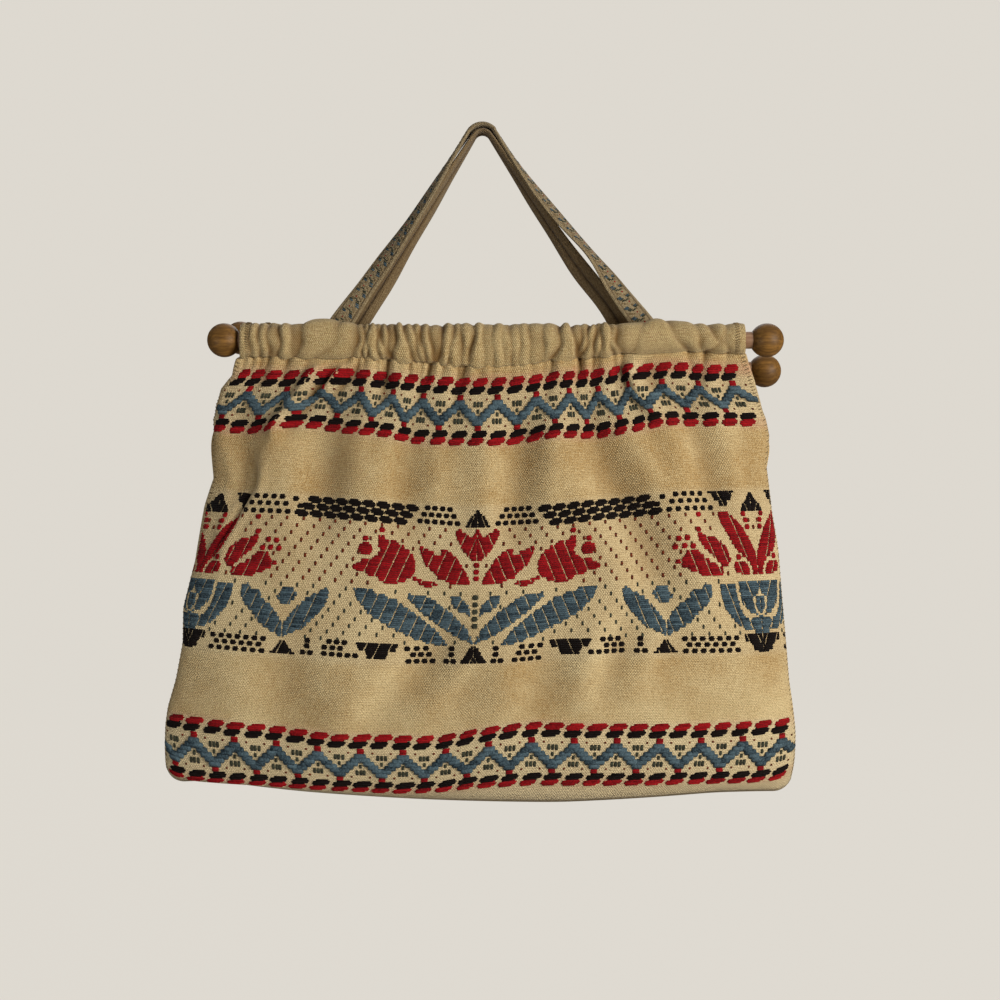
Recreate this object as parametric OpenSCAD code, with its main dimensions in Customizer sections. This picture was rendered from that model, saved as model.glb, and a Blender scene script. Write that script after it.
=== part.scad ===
// Gathered cloth handbag hung by two strap handles, with its mouth shirred onto two turned rods.
// The origin is the underside of the handles at the point where they are carried.
// The front of the bag faces -Y, and +Z is up.

/* [Bag] */
// Widest width of the hanging bag, side seam to side seam
bag_w = 414; // [360:1:460]
// Height of the panels, from the stitch line of the casing to the foot of the bag
panel_h = 290; // [230:1:340]
// Fullest thickness of the bag, front to back
bag_depth = 60; // [48:1:84]
// Thickness of the woven cloth
cloth_t = 1.4; // [0.8:0.1:2.2]
// Length of the open side slits above the side seams
slit_h = 45; // [30:1:80]
// Radius of the bottom corners
corner_r = 24; // [10:1:45]
// How much lower the middle of the bottom seam hangs than its ends
bottom_sag = 10; // [0:1:20]
// Sideways place of the foot of the bag, from the hang point
foot_x = -2; // [-10:1:10]
// Depth of the loose folds below the gathers
fold_depth = 3; // [0:0.5:5]

/* [Casings] */
// Length of the gathered casing along its rod
casing_len = 330; // [290:1:350]
// Thickness of the casing cloth around the rod, two layers and its gathers
casing_t = 2.4; // [1.8:0.1:3.5]
// Distance of the stitch line below the rod axis
stitch_drop = 15; // [13:0.5:22]
// Number of gathers along a casing
pleats = 36; // [20:1:40]
// Height of a gather above and below the mean surface
pleat_depth = 1.1; // [0:0.1:1.3]
// Sideways place of the front casing, from the hang point
mouth_x = 7.5; // [-10:0.5:15]
// How far the back casing has slipped sideways from the front one
back_shift = 6; // [-10:1:10]
// How much lower the middle of the back casing hangs than the front one
back_drop = 6; // [0:1:15]
// Slant of the back casing and its rod, right end low, in degrees
back_tilt = 3.6; // [-4:0.1:4]

/* [Rods] */
// Diameter of the wooden rods
rod_d = 11; // [8:0.5:13]
// Distance between the two rod axes, front to back
rod_gap = 34; // [30:1:44]
// Diameter of the ball knobs
knob_d = 22; // [18:0.5:27]
// Bare length of rod between the knobs, over and above the casing
rod_play = 3.4; // [1:0.2:12]
// Share of that play taken up on the left of the front casing
front_rod_side = 0.12; // [0.1:0.02:0.9]
// Depth of the drilled socket in a knob
socket_depth = 13; // [8:0.5:15]

/* [Handles] */
// Height of the hang point above the front rod axis
handle_rise = 138; // [110:1:180]
// Width of a strap
strap_w = 14; // [10:0.5:18]
// Thickness of a folded and stitched strap
strap_t = 3; // [2:0.1:4]
// Half the distance between the ends of the front strap, at the rod axis
front_reach = 108; // [85:1:130]
// Half the distance between the ends of the back strap, at the rod axis
back_reach = 98; // [70:1:105]
// Length of strap sewn down behind the casing, below the rod axis
tab_len = 10; // [6:1:12]
// Radius of the strap where it bends at the carrying point
hang_r = 5; // [3:0.5:10]

/* [Clearances] */
// Loose fit of a rod in its casing
sleeve_clear = 0.3; // [0.2:0.05:0.6]
// Glue gap of a rod end in a knob
glue_gap = 0.05; // [0.02:0.01:0.1]
// Gap between sewn cloth pieces that lie on each other
lay_gap = 0.3; // [0.2:0.05:0.5]

/* [Hidden] */

FRONT = -1;
BACK = 1;
LEFT = -1;
RIGHT = 1;

cloth_colour = [0.76, 0.65, 0.44];
casing_colour = [0.74, 0.64, 0.46];
strap_colour = [0.52, 0.44, 0.31];
rod_colour = [0.70, 0.52, 0.40];
knob_colour = [0.50, 0.34, 0.19];

// Where each casing hangs, and the way it lies
function casing_mid(side) =
    [mouth_x + (side == BACK ? back_shift : 0), side * rod_gap / 2,
     -handle_rise - (side == BACK ? back_drop : 0)];
function casing_tilt(side) = side == BACK ? back_tilt : 0;
function along(side) = [cos(casing_tilt(side)), 0, -sin(casing_tilt(side))];
function below(side) = [-sin(casing_tilt(side)), 0, -cos(casing_tilt(side))];

// Gathers: a sharp fold out and a fold in for each pleat, uneven as a drawn-up cloth is
columns = 2 * pleats;
pleat_size = [rands(0.55, 1, columns + 1, 11), rands(0.55, 1, columns + 1, 47)];
strap_reach = [front_reach, back_reach];
smooth_half = 1.25 * strap_w;
function which(side) = side == FRONT ? 0 : 1;
function station(i) = casing_len * (i / columns - 0.5);
function strap_s(side, end) = end * strap_reach[which(side)] - (side == BACK ? back_shift : 0);
// The strap ends keep the casing flat over their own width
function flat_at(s, middle) = exp(-pow((s - middle) / smooth_half, 4));
function flatness(side, s) =
    1 - 0.9 * max(flat_at(s, strap_s(side, LEFT)), flat_at(s, strap_s(side, RIGHT)));
function pleat(side, i) =
    (i % 2 == 0 ? 1 : -1) * pleat_depth * pleat_size[which(side)][i] * flatness(side, station(i));

// Casing: a sleeve of drop-shaped section, drawn in to the stitch line under the rod
sleeve_r = rod_d / 2 + sleeve_clear;
casing_r = sleeve_r + casing_t;
arc_steps = 6;
arc_from = -25;
arc_to = 205;
arc_half_step = (arc_to - arc_from) / arc_steps / 2;
ring_r = (casing_r + pleat_depth / 2) / cos(arc_half_step);
seam_half = cloth_t / 2 + 0.6;
ring_size = arc_steps + 3;

function casing_ring(side, i) = let (r = ring_r + 0.8 * pleat(side, i)) concat(
    [for (k = [0:arc_steps]) let (a = arc_from + 2 * arc_half_step * k) [r * cos(a), r * sin(a)]],
    [for (e = [-1, 1]) [e * seam_half + pleat(side, i), -stitch_drop]]);

module casing_skin(side) {
    points = [for (i = [0:columns], p = casing_ring(side, i)) [station(i), p[0], p[1]]];
    walls = [for (i = [0:columns - 1], k = [0:ring_size - 1])
        let (a = i * ring_size + k, b = i * ring_size + (k + 1) % ring_size)
        each [[a, b, b + ring_size], [a, b + ring_size, a + ring_size]]];
    ends = [[for (k = [ring_size - 1:-1:0]) k], [for (k = [0:ring_size - 1]) columns * ring_size + k]];
    polyhedron(points, concat(walls, ends));
}

module at_casing(side) {
    translate(casing_mid(side)) rotate([0, casing_tilt(side), 0]) children();
}

module along_x(r, from, to) {
    translate([from, 0, 0]) rotate([0, 90, 0]) cylinder(r = r, h = to - from, $fn = 64);
}

module casing(side) {
    over = 5;
    color(casing_colour) at_casing(side) difference() {
        casing_skin(side);
        along_x(sleeve_r, -casing_len / 2 - over, casing_len / 2 + over);
    }
}

module front_casing() { casing(FRONT); }
module back_casing() { casing(BACK); }

// Rods and knobs: a plain dowel glued into a drilled ball at each end
rod_r = rod_d / 2;
knob_r = knob_d / 2;
knob_seat = sqrt(pow(knob_r, 2) - pow(rod_r, 2));
knob_half = (casing_len + rod_play) / 2 + knob_seat;
socket_end = socket_depth - knob_seat;
tip_chamfer = 0.8;
front_slide = rod_play * (0.5 - front_rod_side);
function rod_slide(side) = side == FRONT ? front_slide : 0;

module rod(side) {
    half = knob_half + socket_end - glue_gap;
    color(rod_colour) at_casing(side) translate([rod_slide(side), 0, 0]) rotate([0, 90, 0])
        rotate_extrude($fn = 64) polygon([
            [0, -half], [rod_r - tip_chamfer, -half], [rod_r, -half + tip_chamfer],
            [rod_r, half - tip_chamfer], [rod_r - tip_chamfer, half], [0, half]]);
}

module knob(side, end) {
    color(knob_colour) at_casing(side) translate([rod_slide(side) + end * knob_half, 0, 0])
        rotate([0, 90 * end, 0]) difference() {
            sphere(r = knob_r, $fn = 64);
            translate([0, 0, -knob_r]) cylinder(r = rod_r + glue_gap, h = knob_r + socket_end, $fn = 64);
        }
}

module front_rod() { rod(FRONT); }
module front_knob_left() { knob(FRONT, LEFT); }
module front_knob_right() { knob(FRONT, RIGHT); }
module back_rod() { rod(BACK); }
module back_knob_left() { knob(BACK, LEFT); }
module back_knob_right() { knob(BACK, RIGHT); }

// Panels: u runs across from side to side, -1 to 1, and v down from the stitch line, 0 to 1
rows = 13;
slit_v = slit_h / panel_h;
full_v = 0.87;
close_v = 0.78;
round_share = 0.4;
foot_z = -handle_rise - stitch_drop - panel_h;
slit_z = -handle_rise - stitch_drop - slit_h;
fold_phase = [25, 140];

function row_v(j) = 0.5 - 0.5 * cos(180 * j / rows);
function sewn(v) = min(1, v / slit_v);
function across(u, v) = u + round_share * (sin(90 * u) - u) * sewn(v);
function half_width(v) = (casing_len + (bag_w - casing_len) * pow(min(1, v / full_v), 0.55)) / 2;
function half_depth(v) =
    (rod_gap + (bag_depth - rod_gap) * sin(90 * min(1, v / 0.6))) / 2
    * sqrt(1 - pow(max(0, (v - close_v) / (1 - close_v)), 2));
function slit_open(v) = rod_gap / 2 * pow(1 - sewn(v), 1.2);
function lens(u, v) = sqrt(max(0, 1 - pow(across(u, v), 2)));

function mid_x(side, v) = let (stitch = casing_mid(side) + stitch_drop * below(side))
    mouth_x + (foot_x - mouth_x) * v + (stitch[0] - mouth_x) * (1 - sewn(v));
function stitch_z(side, u) =
    (casing_mid(side) + casing_len / 2 * u * along(side) + stitch_drop * below(side))[2];
function corner_rise(x, half, r) = r - sqrt(max(0, pow(r, 2) - pow(max(0, abs(x) - half + r), 2)));
function bottom_z(u, inset) = let (s = across(u, 1), half = bag_w / 2 - inset)
    foot_z + inset + bottom_sag * pow(s, 2) + corner_rise(half * s, half, corner_r - inset);
function panel_z(side, u, v, inset) = v < slit_v
    ? stitch_z(side, u) + (slit_z - stitch_z(side, u)) * sewn(v)
    : slit_z + (bottom_z(u, inset) - slit_z) * (v - slit_v) / (1 - slit_v);

// The gathers run out into fewer, wider folds, and the cloth lies smooth at its seams
function loose(side, u, v) = let (p = fold_phase[which(side)])
    fold_depth * (1 - exp(-v / 0.06)) * (exp(-v / 0.3) * sin(1550 * u + p)
        + 0.8 * sin(620 * u + 90 * v - p) * exp(-v / 0.9) + 0.4 * sin(250 * u - 200 * v + 2 * p));
function seam_fade(u, v) = (1 - sewn(v) * pow(abs(u), 6)) * (1 - pow(v, 5));
function folds(side, i, u, v) = (pleat(side, i) * exp(-v / 0.07) + loose(side, u, v)) * seam_fade(u, v);

function panel_point(side, i, j, inset) = let (
        u = 2 * i / columns - 1,
        v = row_v(j),
        open = slit_open(v) + (cloth_t / 2 - inset) * (1 - sewn(v)),
        full = half_depth(v) + cloth_t / 2 * (1 - sewn(v)) - inset * (v < 1 ? 1 : 0),
        half = half_width(v) * (1 - (1 - cos(casing_tilt(side))) * (1 - sewn(v))) - inset * sewn(v),
        bulge = open + max(0, full - open) * (sewn(v) < 1 ? 1 + (lens(u, v) - 1) * sewn(v) : lens(u, v)))
    [mid_x(side, v) + half * across(u, v),
     side * (v < 1 ? bulge : 0) + folds(side, i, u, v),
     panel_z(side, u, v, inset)];

module panel(side) {
    line = columns + 1;
    sheet = line * (rows + 1);
    points = [for (inset = [0, cloth_t], j = [0:rows], i = [0:columns]) panel_point(side, i, j, inset)];
    function at(layer, j, i) = layer * sheet + j * line + i;
    function quad(a, b, c, d) = side == FRONT ? [[a, b, c], [a, c, d]] : [[c, b, a], [d, c, a]];
    faces = concat(
        [for (j = [0:rows - 1], i = [0:columns - 1])
            each quad(at(0, j, i), at(0, j, i + 1), at(0, j + 1, i + 1), at(0, j + 1, i))],
        [for (j = [0:rows - 1], i = [0:columns - 1])
            each quad(at(1, j, i), at(1, j + 1, i), at(1, j + 1, i + 1), at(1, j, i + 1))],
        [for (i = [0:columns - 1])
            each quad(at(0, 0, i + 1), at(0, 0, i), at(1, 0, i), at(1, 0, i + 1))],
        [for (i = [0:columns - 1])
            each quad(at(0, rows, i), at(0, rows, i + 1), at(1, rows, i + 1), at(1, rows, i))],
        [for (j = [0:rows - 1])
            each quad(at(0, j, 0), at(0, j + 1, 0), at(1, j + 1, 0), at(1, j, 0))],
        [for (j = [0:rows - 1])
            each quad(at(0, j + 1, columns), at(0, j, columns), at(1, j, columns), at(1, j + 1, columns))]);
    color(cloth_colour) polyhedron(points, faces);
}

module front_panel() { panel(FRONT); }
module back_panel() { panel(BACK); }

// Handles: each strap is sewn flat behind its casing and turns on edge towards the carrying point
strap_y = rod_gap / 2 - ring_r - pleat_depth / 10 - lay_gap - strap_t / 2;
strap_edge = strap_t * 0.3;
strap_flat = strap_w / 2 - strap_edge;
strap_section = [
    [-strap_w / 2, 0], [-strap_flat, -strap_t / 2], [strap_flat, -strap_t / 2],
    [strap_w / 2, 0], [strap_flat, strap_t / 2], [-strap_flat, strap_t / 2]];
leg_steps = 10;
bend_steps = 6;
hang_centre = [0, -hang_r];

function bend_r(side) = hang_r + strap_t / 2 + (side == FRONT ? strap_t + 4 * lay_gap : 0);
function strap_foot(side, end) = let (a = casing_mid(side) + strap_s(side, end) * along(side)) [a[0], a[2]];
// The straight leg leaves the sewn end and meets the bend at the carrying point as a tangent
function leg_span(side, end) = hang_centre - strap_foot(side, end);
function leg_angle(side, end) = let (d = leg_span(side, end))
    atan2(d[1], d[0]) - end * asin(bend_r(side) / norm(d));
function leg_len(side, end) = sqrt(pow(norm(leg_span(side, end)), 2) - pow(bend_r(side), 2));
function leg_free(side, end) = (ring_r + 1) / sin(leg_angle(side, end));

// One station of a strap: its middle, the way its outer edge looks, and how far it has turned on edge
function leg_station(side, end, q) = let (
        a = leg_angle(side, end),
        free = leg_free(side, end),
        f = max(0, (q - free) / (leg_len(side, end) - free)),
        foot = strap_foot(side, end) + q * [cos(a), sin(a)])
    [[foot[0], side * strap_y * (1 - f), foot[1]], a - 90 * end, 90 * sqrt(f)];
function leg(side, end) = concat([leg_station(side, end, -tab_len)],
    [for (k = [0:leg_steps]) let (free = leg_free(side, end))
        leg_station(side, end, free + (leg_len(side, end) - free) * k / leg_steps)]);
function bend(side) = let (from = leg_angle(side, LEFT) + 90, to = leg_angle(side, RIGHT) - 90)
    [for (k = [1:bend_steps - 1]) let (a = from + (to - from) * k / bend_steps, r = bend_r(side))
        [[hang_centre[0] + r * cos(a), 0, hang_centre[1] + r * sin(a)], a, 90]];
function turned(list) = [for (k = [len(list) - 1:-1:0]) list[k]];
function strap_line(side) = concat(leg(side, LEFT), bend(side), turned(leg(side, RIGHT)));

function strap_ring(side, at) = let (
        out = [cos(at[1]), 0, sin(at[1])],
        edge = -side * cos(at[2]) * out + [0, sin(at[2]), 0],
        face = sin(at[2]) * out + [0, side * cos(at[2]), 0])
    [for (p = strap_section) at[0] + p[0] * edge + p[1] * face];

module handle(side) {
    stations = strap_line(side);
    last = len(stations) - 1;
    size = len(strap_section);
    points = [for (at = stations) each strap_ring(side, at)];
    walls = [for (i = [0:last - 1], k = [0:size - 1])
        let (a = i * size + k, b = i * size + (k + 1) % size)
        each [[a, b, b + size], [a, b + size, a + size]]];
    ends = [[for (k = [size - 1:-1:0]) k], [for (k = [0:size - 1]) last * size + k]];
    color(strap_colour) polyhedron(points, concat(walls, ends));
}

module front_handle() { handle(FRONT); }
module back_handle() { handle(BACK); }

front_panel();
back_panel();
front_casing();
back_casing();
front_rod();
front_knob_left();
front_knob_right();
back_rod();
back_knob_left();
back_knob_right();
front_handle();
back_handle();
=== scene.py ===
import math

import bpy
import numpy as np
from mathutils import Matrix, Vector


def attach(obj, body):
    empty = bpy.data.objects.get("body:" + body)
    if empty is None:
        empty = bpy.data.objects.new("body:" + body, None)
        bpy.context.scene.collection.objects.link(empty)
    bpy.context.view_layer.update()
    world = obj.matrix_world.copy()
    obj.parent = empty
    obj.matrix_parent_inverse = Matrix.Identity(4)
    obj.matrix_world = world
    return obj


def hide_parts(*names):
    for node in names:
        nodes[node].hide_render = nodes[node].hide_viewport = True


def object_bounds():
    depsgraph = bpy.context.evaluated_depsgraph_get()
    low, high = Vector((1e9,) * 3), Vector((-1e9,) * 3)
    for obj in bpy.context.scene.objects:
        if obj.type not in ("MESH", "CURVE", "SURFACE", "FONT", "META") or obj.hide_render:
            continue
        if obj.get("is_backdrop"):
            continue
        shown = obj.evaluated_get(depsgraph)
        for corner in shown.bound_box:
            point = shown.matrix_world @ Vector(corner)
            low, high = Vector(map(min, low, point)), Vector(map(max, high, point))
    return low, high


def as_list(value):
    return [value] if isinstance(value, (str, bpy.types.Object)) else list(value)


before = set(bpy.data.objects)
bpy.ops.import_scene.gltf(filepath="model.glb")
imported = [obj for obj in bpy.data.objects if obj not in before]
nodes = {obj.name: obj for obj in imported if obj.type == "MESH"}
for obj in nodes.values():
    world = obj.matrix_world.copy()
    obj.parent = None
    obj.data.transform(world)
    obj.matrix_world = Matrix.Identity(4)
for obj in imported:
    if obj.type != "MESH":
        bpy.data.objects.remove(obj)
cadLow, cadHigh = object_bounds()
mm = 0.001
front, back = -1, 1
sideNames = {front: "front", back: "back"}
print("frame loaded:", len(nodes), "solids")


# Small helpers

def linear(c):
    return c / 12.92 if c <= 0.04045 else ((c + 0.055) / 1.055) ** 2.4


def srgb(r, g, b):
    return tuple(linear(c / 255) for c in (r, g, b)) + (1,)


def deselectAll():
    if bpy.context.object and bpy.context.object.mode != "OBJECT":
        bpy.ops.object.mode_set(mode="OBJECT")
    bpy.ops.object.select_all(action="DESELECT")


def pickOnly(obj):
    deselectAll()
    obj.select_set(True)
    bpy.context.view_layer.objects.active = obj


def readPoints(obj):
    co = np.zeros(len(obj.data.vertices) * 3, np.float32)
    obj.data.vertices.foreach_get("co", co)
    return co.reshape(-1, 3).astype(float)


def writePoints(obj, points):
    obj.data.vertices.foreach_set("co", np.asarray(points, np.float32).ravel())
    obj.data.update()


def pointValue(obj, name, values):
    attribute = obj.data.attributes.new(name, "FLOAT", "POINT")
    attribute.data.foreach_set("value", np.asarray(values, np.float32).ravel())


def flatUv(obj, across, down):
    # the cloth's own flat lengths in metres, so that weave and bands follow the folds
    loops = np.zeros(len(obj.data.loops), np.int32)
    obj.data.loops.foreach_get("vertex_index", loops)
    layer = obj.data.uv_layers[0]
    layer.name = "flat"
    uv = np.stack([across[loops], down[loops]], 1).astype(np.float32)
    layer.data.foreach_set("uv", uv.ravel())


def clothGrid(name, across, down):
    deselectAll()
    bpy.ops.mesh.primitive_grid_add(x_subdivisions=across, y_subdivisions=down, size=1, calc_uvs=True)
    obj = bpy.context.object
    obj.name = name
    co = readPoints(obj)
    xs, ys = np.unique(co[:, 0].round(5)), np.unique(co[:, 1].round(5))
    col = np.searchsorted(xs, co[:, 0].round(5))
    row = len(ys) - 1 - np.searchsorted(ys, co[:, 1].round(5))
    return obj, row, col, len(ys) - 1, len(xs) - 1


def thicken(obj, thickness):
    pickOnly(obj)
    bpy.ops.object.modifier_add(type="SOLIDIFY")
    wall = obj.modifiers[-1]
    wall.thickness = thickness
    wall.offset = -1
    bpy.ops.object.modifier_apply(modifier=wall.name)


def smoothShade(obj, angle=None):
    pickOnly(obj)
    if angle is None:
        bpy.ops.object.shade_smooth()
    else:
        bpy.ops.object.shade_smooth_by_angle(angle=math.radians(angle))


def setMaterial(obj, material):
    obj.data.materials.clear()
    obj.data.materials.append(material)


def smoothThrough(xs, ys, x):
    xs, ys = np.asarray(xs, float), np.asarray(ys, float)
    slope = np.diff(ys) / np.diff(xs)
    m = np.concatenate([slope[:1], (slope[1:] + slope[:-1]) / 2, slope[-1:]])
    k = np.clip(np.searchsorted(xs, x) - 1, 0, len(xs) - 2)
    h = xs[k + 1] - xs[k]
    t = np.clip((x - xs[k]) / h, 0, 1)
    return ((2 * t ** 3 - 3 * t ** 2 + 1) * ys[k] + (t ** 3 - 2 * t ** 2 + t) * h * m[k]
            + (3 * t ** 2 - 2 * t ** 3) * ys[k + 1] + (t ** 3 - t ** 2) * h * m[k + 1])


# Camera, stage and light

camera = {"place": (0.0117, -1.017, -0.2418), "lens": 55.4}
bpy.ops.object.camera_add(location=camera["place"], rotation=(math.pi / 2, 0, 0))
eye = bpy.context.object
eye.data.lens = camera["lens"]
eye.data.sensor_width = 36
bpy.context.scene.camera = eye

stage = {"floor": -0.66, "radius": 2.6, "rise": 2.4, "sweep": 0.9, "sides": 96, "steps": 10,
         "colour": srgb(228, 223, 214), "bounce": srgb(150, 146, 140), "glow": 0.93}


def makeStage():
    deselectAll()
    bpy.ops.mesh.primitive_circle_add(vertices=stage["sides"], radius=stage["radius"], fill_type="NGON",
                                      location=(0, 0, stage["floor"]))
    bowl = bpy.context.object
    bowl.name = "backdrop"
    bpy.ops.object.mode_set(mode="EDIT")
    bpy.ops.mesh.select_all(action="SELECT")
    bpy.ops.mesh.select_mode(type="EDGE")
    bpy.ops.mesh.region_to_loop()
    quarter, steps, sweep = math.pi / 2, stage["steps"], stage["sweep"]
    for k in range(steps + 1):  # the last step is the straight wall
        a0, a1 = quarter * k / steps, quarter * (k + 1) / steps
        out = sweep * (math.sin(a1) - math.sin(a0)) if k < steps else 0
        up = sweep * (math.cos(a0) - math.cos(a1)) if k < steps else stage["rise"]
        here = stage["radius"] + sweep * math.sin(a0)
        bpy.ops.mesh.extrude_edges_move(TRANSFORM_OT_translate={"value": (0, 0, up)})
        grow = (here + out) / here
        bpy.ops.transform.resize(value=(grow, grow, 1))
    bpy.ops.object.mode_set(mode="OBJECT")
    bpy.ops.object.transform_apply(location=True, rotation=True, scale=True)
    bpy.ops.object.shade_smooth()
    material = bpy.data.materials.new("paper")
    material.use_nodes = True
    tree = material.node_tree
    matt = tree.nodes["Principled BSDF"]
    matt.inputs["Base Color"].default_value = stage["bounce"]
    matt.inputs["Roughness"].default_value = 1
    matt.inputs["Specular IOR Level"].default_value = 0
    glow = tree.nodes.new("ShaderNodeEmission")
    glow.inputs["Color"].default_value = stage["colour"]
    seen = tree.nodes.new("ShaderNodeLightPath")
    share = tree.nodes.new("ShaderNodeMath")
    share.operation = "MULTIPLY"
    share.inputs[1].default_value = stage["glow"]
    mix = tree.nodes.new("ShaderNodeMixShader")
    tree.links.new(seen.outputs["Is Camera Ray"], share.inputs[0])
    tree.links.new(share.outputs[0], mix.inputs[0])
    tree.links.new(matt.outputs[0], mix.inputs[1])
    tree.links.new(glow.outputs[0], mix.inputs[2])
    tree.links.new(mix.outputs[0], tree.nodes["Material Output"].inputs["Surface"])
    setMaterial(bowl, material)
    bowl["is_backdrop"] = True


lamps = {
    "key": {"place": (1.5, -1.42, 0.02), "size": 0.95, "power": 41, "colour": (1.0, 0.965, 0.91)},
    "fill": {"place": (-1.0, -1.2, -0.95), "size": 1.4, "power": 23, "colour": (0.93, 0.96, 1.0)},
    "rear": {"place": (0.2, 1.5, 0.8), "size": 1.4, "power": 14, "colour": (1.0, 0.98, 0.95)},
}
lampTarget = Vector((0, 0, -0.25))
world = {"colour": (0.92, 0.95, 1.0, 1), "strength": 0.31}


def makeLight():
    for name, lamp in lamps.items():
        deselectAll()
        aim = (lampTarget - Vector(lamp["place"])).to_track_quat("-Z", "Y").to_euler()
        bpy.ops.object.light_add(type="AREA", location=lamp["place"], rotation=aim)
        light = bpy.context.object
        light.name = name
        light.data.size = lamp["size"]
        light.data.energy = lamp["power"]
        light.data.color = lamp["colour"]
    sky = bpy.data.worlds.new("sky")
    bpy.context.scene.world = sky
    sky.use_nodes = True
    ground = sky.node_tree.nodes["Background"]
    ground.inputs["Color"].default_value = world["colour"]
    ground.inputs["Strength"].default_value = world["strength"]
    bpy.context.scene.view_settings.view_transform = "Standard"


makeStage()
makeLight()
print("stage and light done")


# Materials

def nodeMaker(tree):
    def make(kind, operation=None, **values):
        node = tree.nodes.new(kind)
        if operation:
            node.operation = operation
        for key, value in values.items():
            byNumber = key[0] == "i" and key[1:].isdigit()
            node.inputs[int(key[1:]) if byNumber else key].default_value = value
        return node
    return make


def newMaterial(name, look):
    material = bpy.data.materials.new(name)
    material.use_nodes = True
    tree = material.node_tree
    shader = tree.nodes["Principled BSDF"]
    shader.inputs["Roughness"].default_value = look["roughness"]
    shader.inputs["Specular IOR Level"].default_value = look["specular"]
    return material, tree, shader, nodeMaker(tree)


def feed(tree, socket, value):
    if hasattr(value, "is_linked"):
        tree.links.new(value, socket)
    else:
        socket.default_value = value


def mathChain(tree, make, operation, a, b=None):
    node = make("ShaderNodeMath", operation)
    feed(tree, node.inputs[0], a)
    if b is not None:
        feed(tree, node.inputs[1], b)
    return node.outputs[0]


def mixColour(tree, make, share, a, b):
    node = make("ShaderNodeMix")
    node.data_type = "RGBA"
    for socket, value in ((node.inputs[0], share), (node.inputs[6], a), (node.inputs[7], b)):
        feed(tree, socket, value)
    return node.outputs[2]


def noiseOn(tree, make, vector, **values):
    noise = make("ShaderNodeTexNoise", **values)
    tree.links.new(vector, noise.inputs["Vector"])
    return noise.outputs["Fac"]


def spread(tree, make, value, span, low=0.0, high=1.0, smooth=False):
    # the value's span drawn out to low and high
    node = make("ShaderNodeMapRange", i1=span[0], i2=span[1], i3=low, i4=high)
    if smooth:
        node.interpolation_type = "SMOOTHSTEP"
    tree.links.new(value, node.inputs[0])
    return node.outputs[0]


def addBump(tree, make, shader, height, look):
    bump = make("ShaderNodeBump", Strength=look["bump"], Distance=look["bumpDepth"])
    tree.links.new(height, bump.inputs["Height"])
    tree.links.new(bump.outputs[0], shader.inputs["Normal"])


# the warp is the finer of the two; stretches: slubs along weft and warp, then flecks
weaveShape = {"finer": {"X": 1.3, "Y": 1.0}, "sway": 3.0, "swayScale": 140.0, "cross": 0.5, "rib": 0.75,
              "stretches": [(110, 1300, 1), (1300, 110, 1), (800, 1000, 1)]}


def makeWeaveGroup():
    # plain weave: warp and weft humps, slubs that run along the threads, and flecks of single threads
    group = bpy.data.node_groups.new("plainWeave", "ShaderNodeTree")
    group.interface.new_socket("Flat", in_out="INPUT", socket_type="NodeSocketVector")
    group.interface.new_socket("Threads", in_out="INPUT", socket_type="NodeSocketFloat")
    for output in ("Height", "Slub", "Fleck"):
        group.interface.new_socket(output, in_out="OUTPUT", socket_type="NodeSocketFloat")
    make = nodeMaker(group)
    entry, leave = make("NodeGroupInput"), make("NodeGroupOutput")
    flat = entry.outputs["Flat"]
    parts = make("ShaderNodeSeparateXYZ")
    group.links.new(flat, parts.inputs[0])
    wobble = noiseOn(group, make, flat, Scale=weaveShape["swayScale"], Detail=2.0)
    sway = mathChain(group, make, "MULTIPLY", wobble, weaveShape["sway"])
    waves = []
    for axis, finer in weaveShape["finer"].items():
        run = mathChain(group, make, "MULTIPLY", parts.outputs[axis], entry.outputs["Threads"])
        run = mathChain(group, make, "MULTIPLY", run, finer * math.pi)
        waves.append(mathChain(group, make, "SINE", mathChain(group, make, "ADD", run, sway)))
    cross = mathChain(group, make, "MULTIPLY", *waves)
    cross = mathChain(group, make, "MULTIPLY", cross, weaveShape["cross"])
    rib = mathChain(group, make, "ABSOLUTE", waves[1])
    rib = mathChain(group, make, "MULTIPLY", rib, weaveShape["rib"])
    height = mathChain(group, make, "ADD", cross, rib)
    noises = []
    for scale in weaveShape["stretches"]:
        stretch = make("ShaderNodeMapping", Scale=scale)
        group.links.new(flat, stretch.inputs["Vector"])
        noises.append(noiseOn(group, make, stretch.outputs[0], Scale=1.0, Detail=3.0, Roughness=0.6))
    slub = mathChain(group, make, "MULTIPLY", mathChain(group, make, "ADD", *noises[:2]), 0.5)
    group.links.new(mathChain(group, make, "ADD", height, slub), leave.inputs["Height"])
    group.links.new(slub, leave.inputs["Slub"])
    group.links.new(noises[2], leave.inputs["Fleck"])
    return group


weaveGroup = makeWeaveGroup()


def rowMask(tree, make, down, rows):
    # rows: middle in flat millimetres, half width of the full core, where it ends, amount
    mask = None
    for middle, core, end, amount in rows:
        away = mathChain(tree, make, "ABSOLUTE", mathChain(tree, make, "ADD", down, middle * mm))
        near = spread(tree, make, away, (core * mm, end * mm), amount, 0.0, smooth=True)
        mask = near if mask is None else mathChain(tree, make, "MAXIMUM", mask, near)
    return mask


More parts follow.
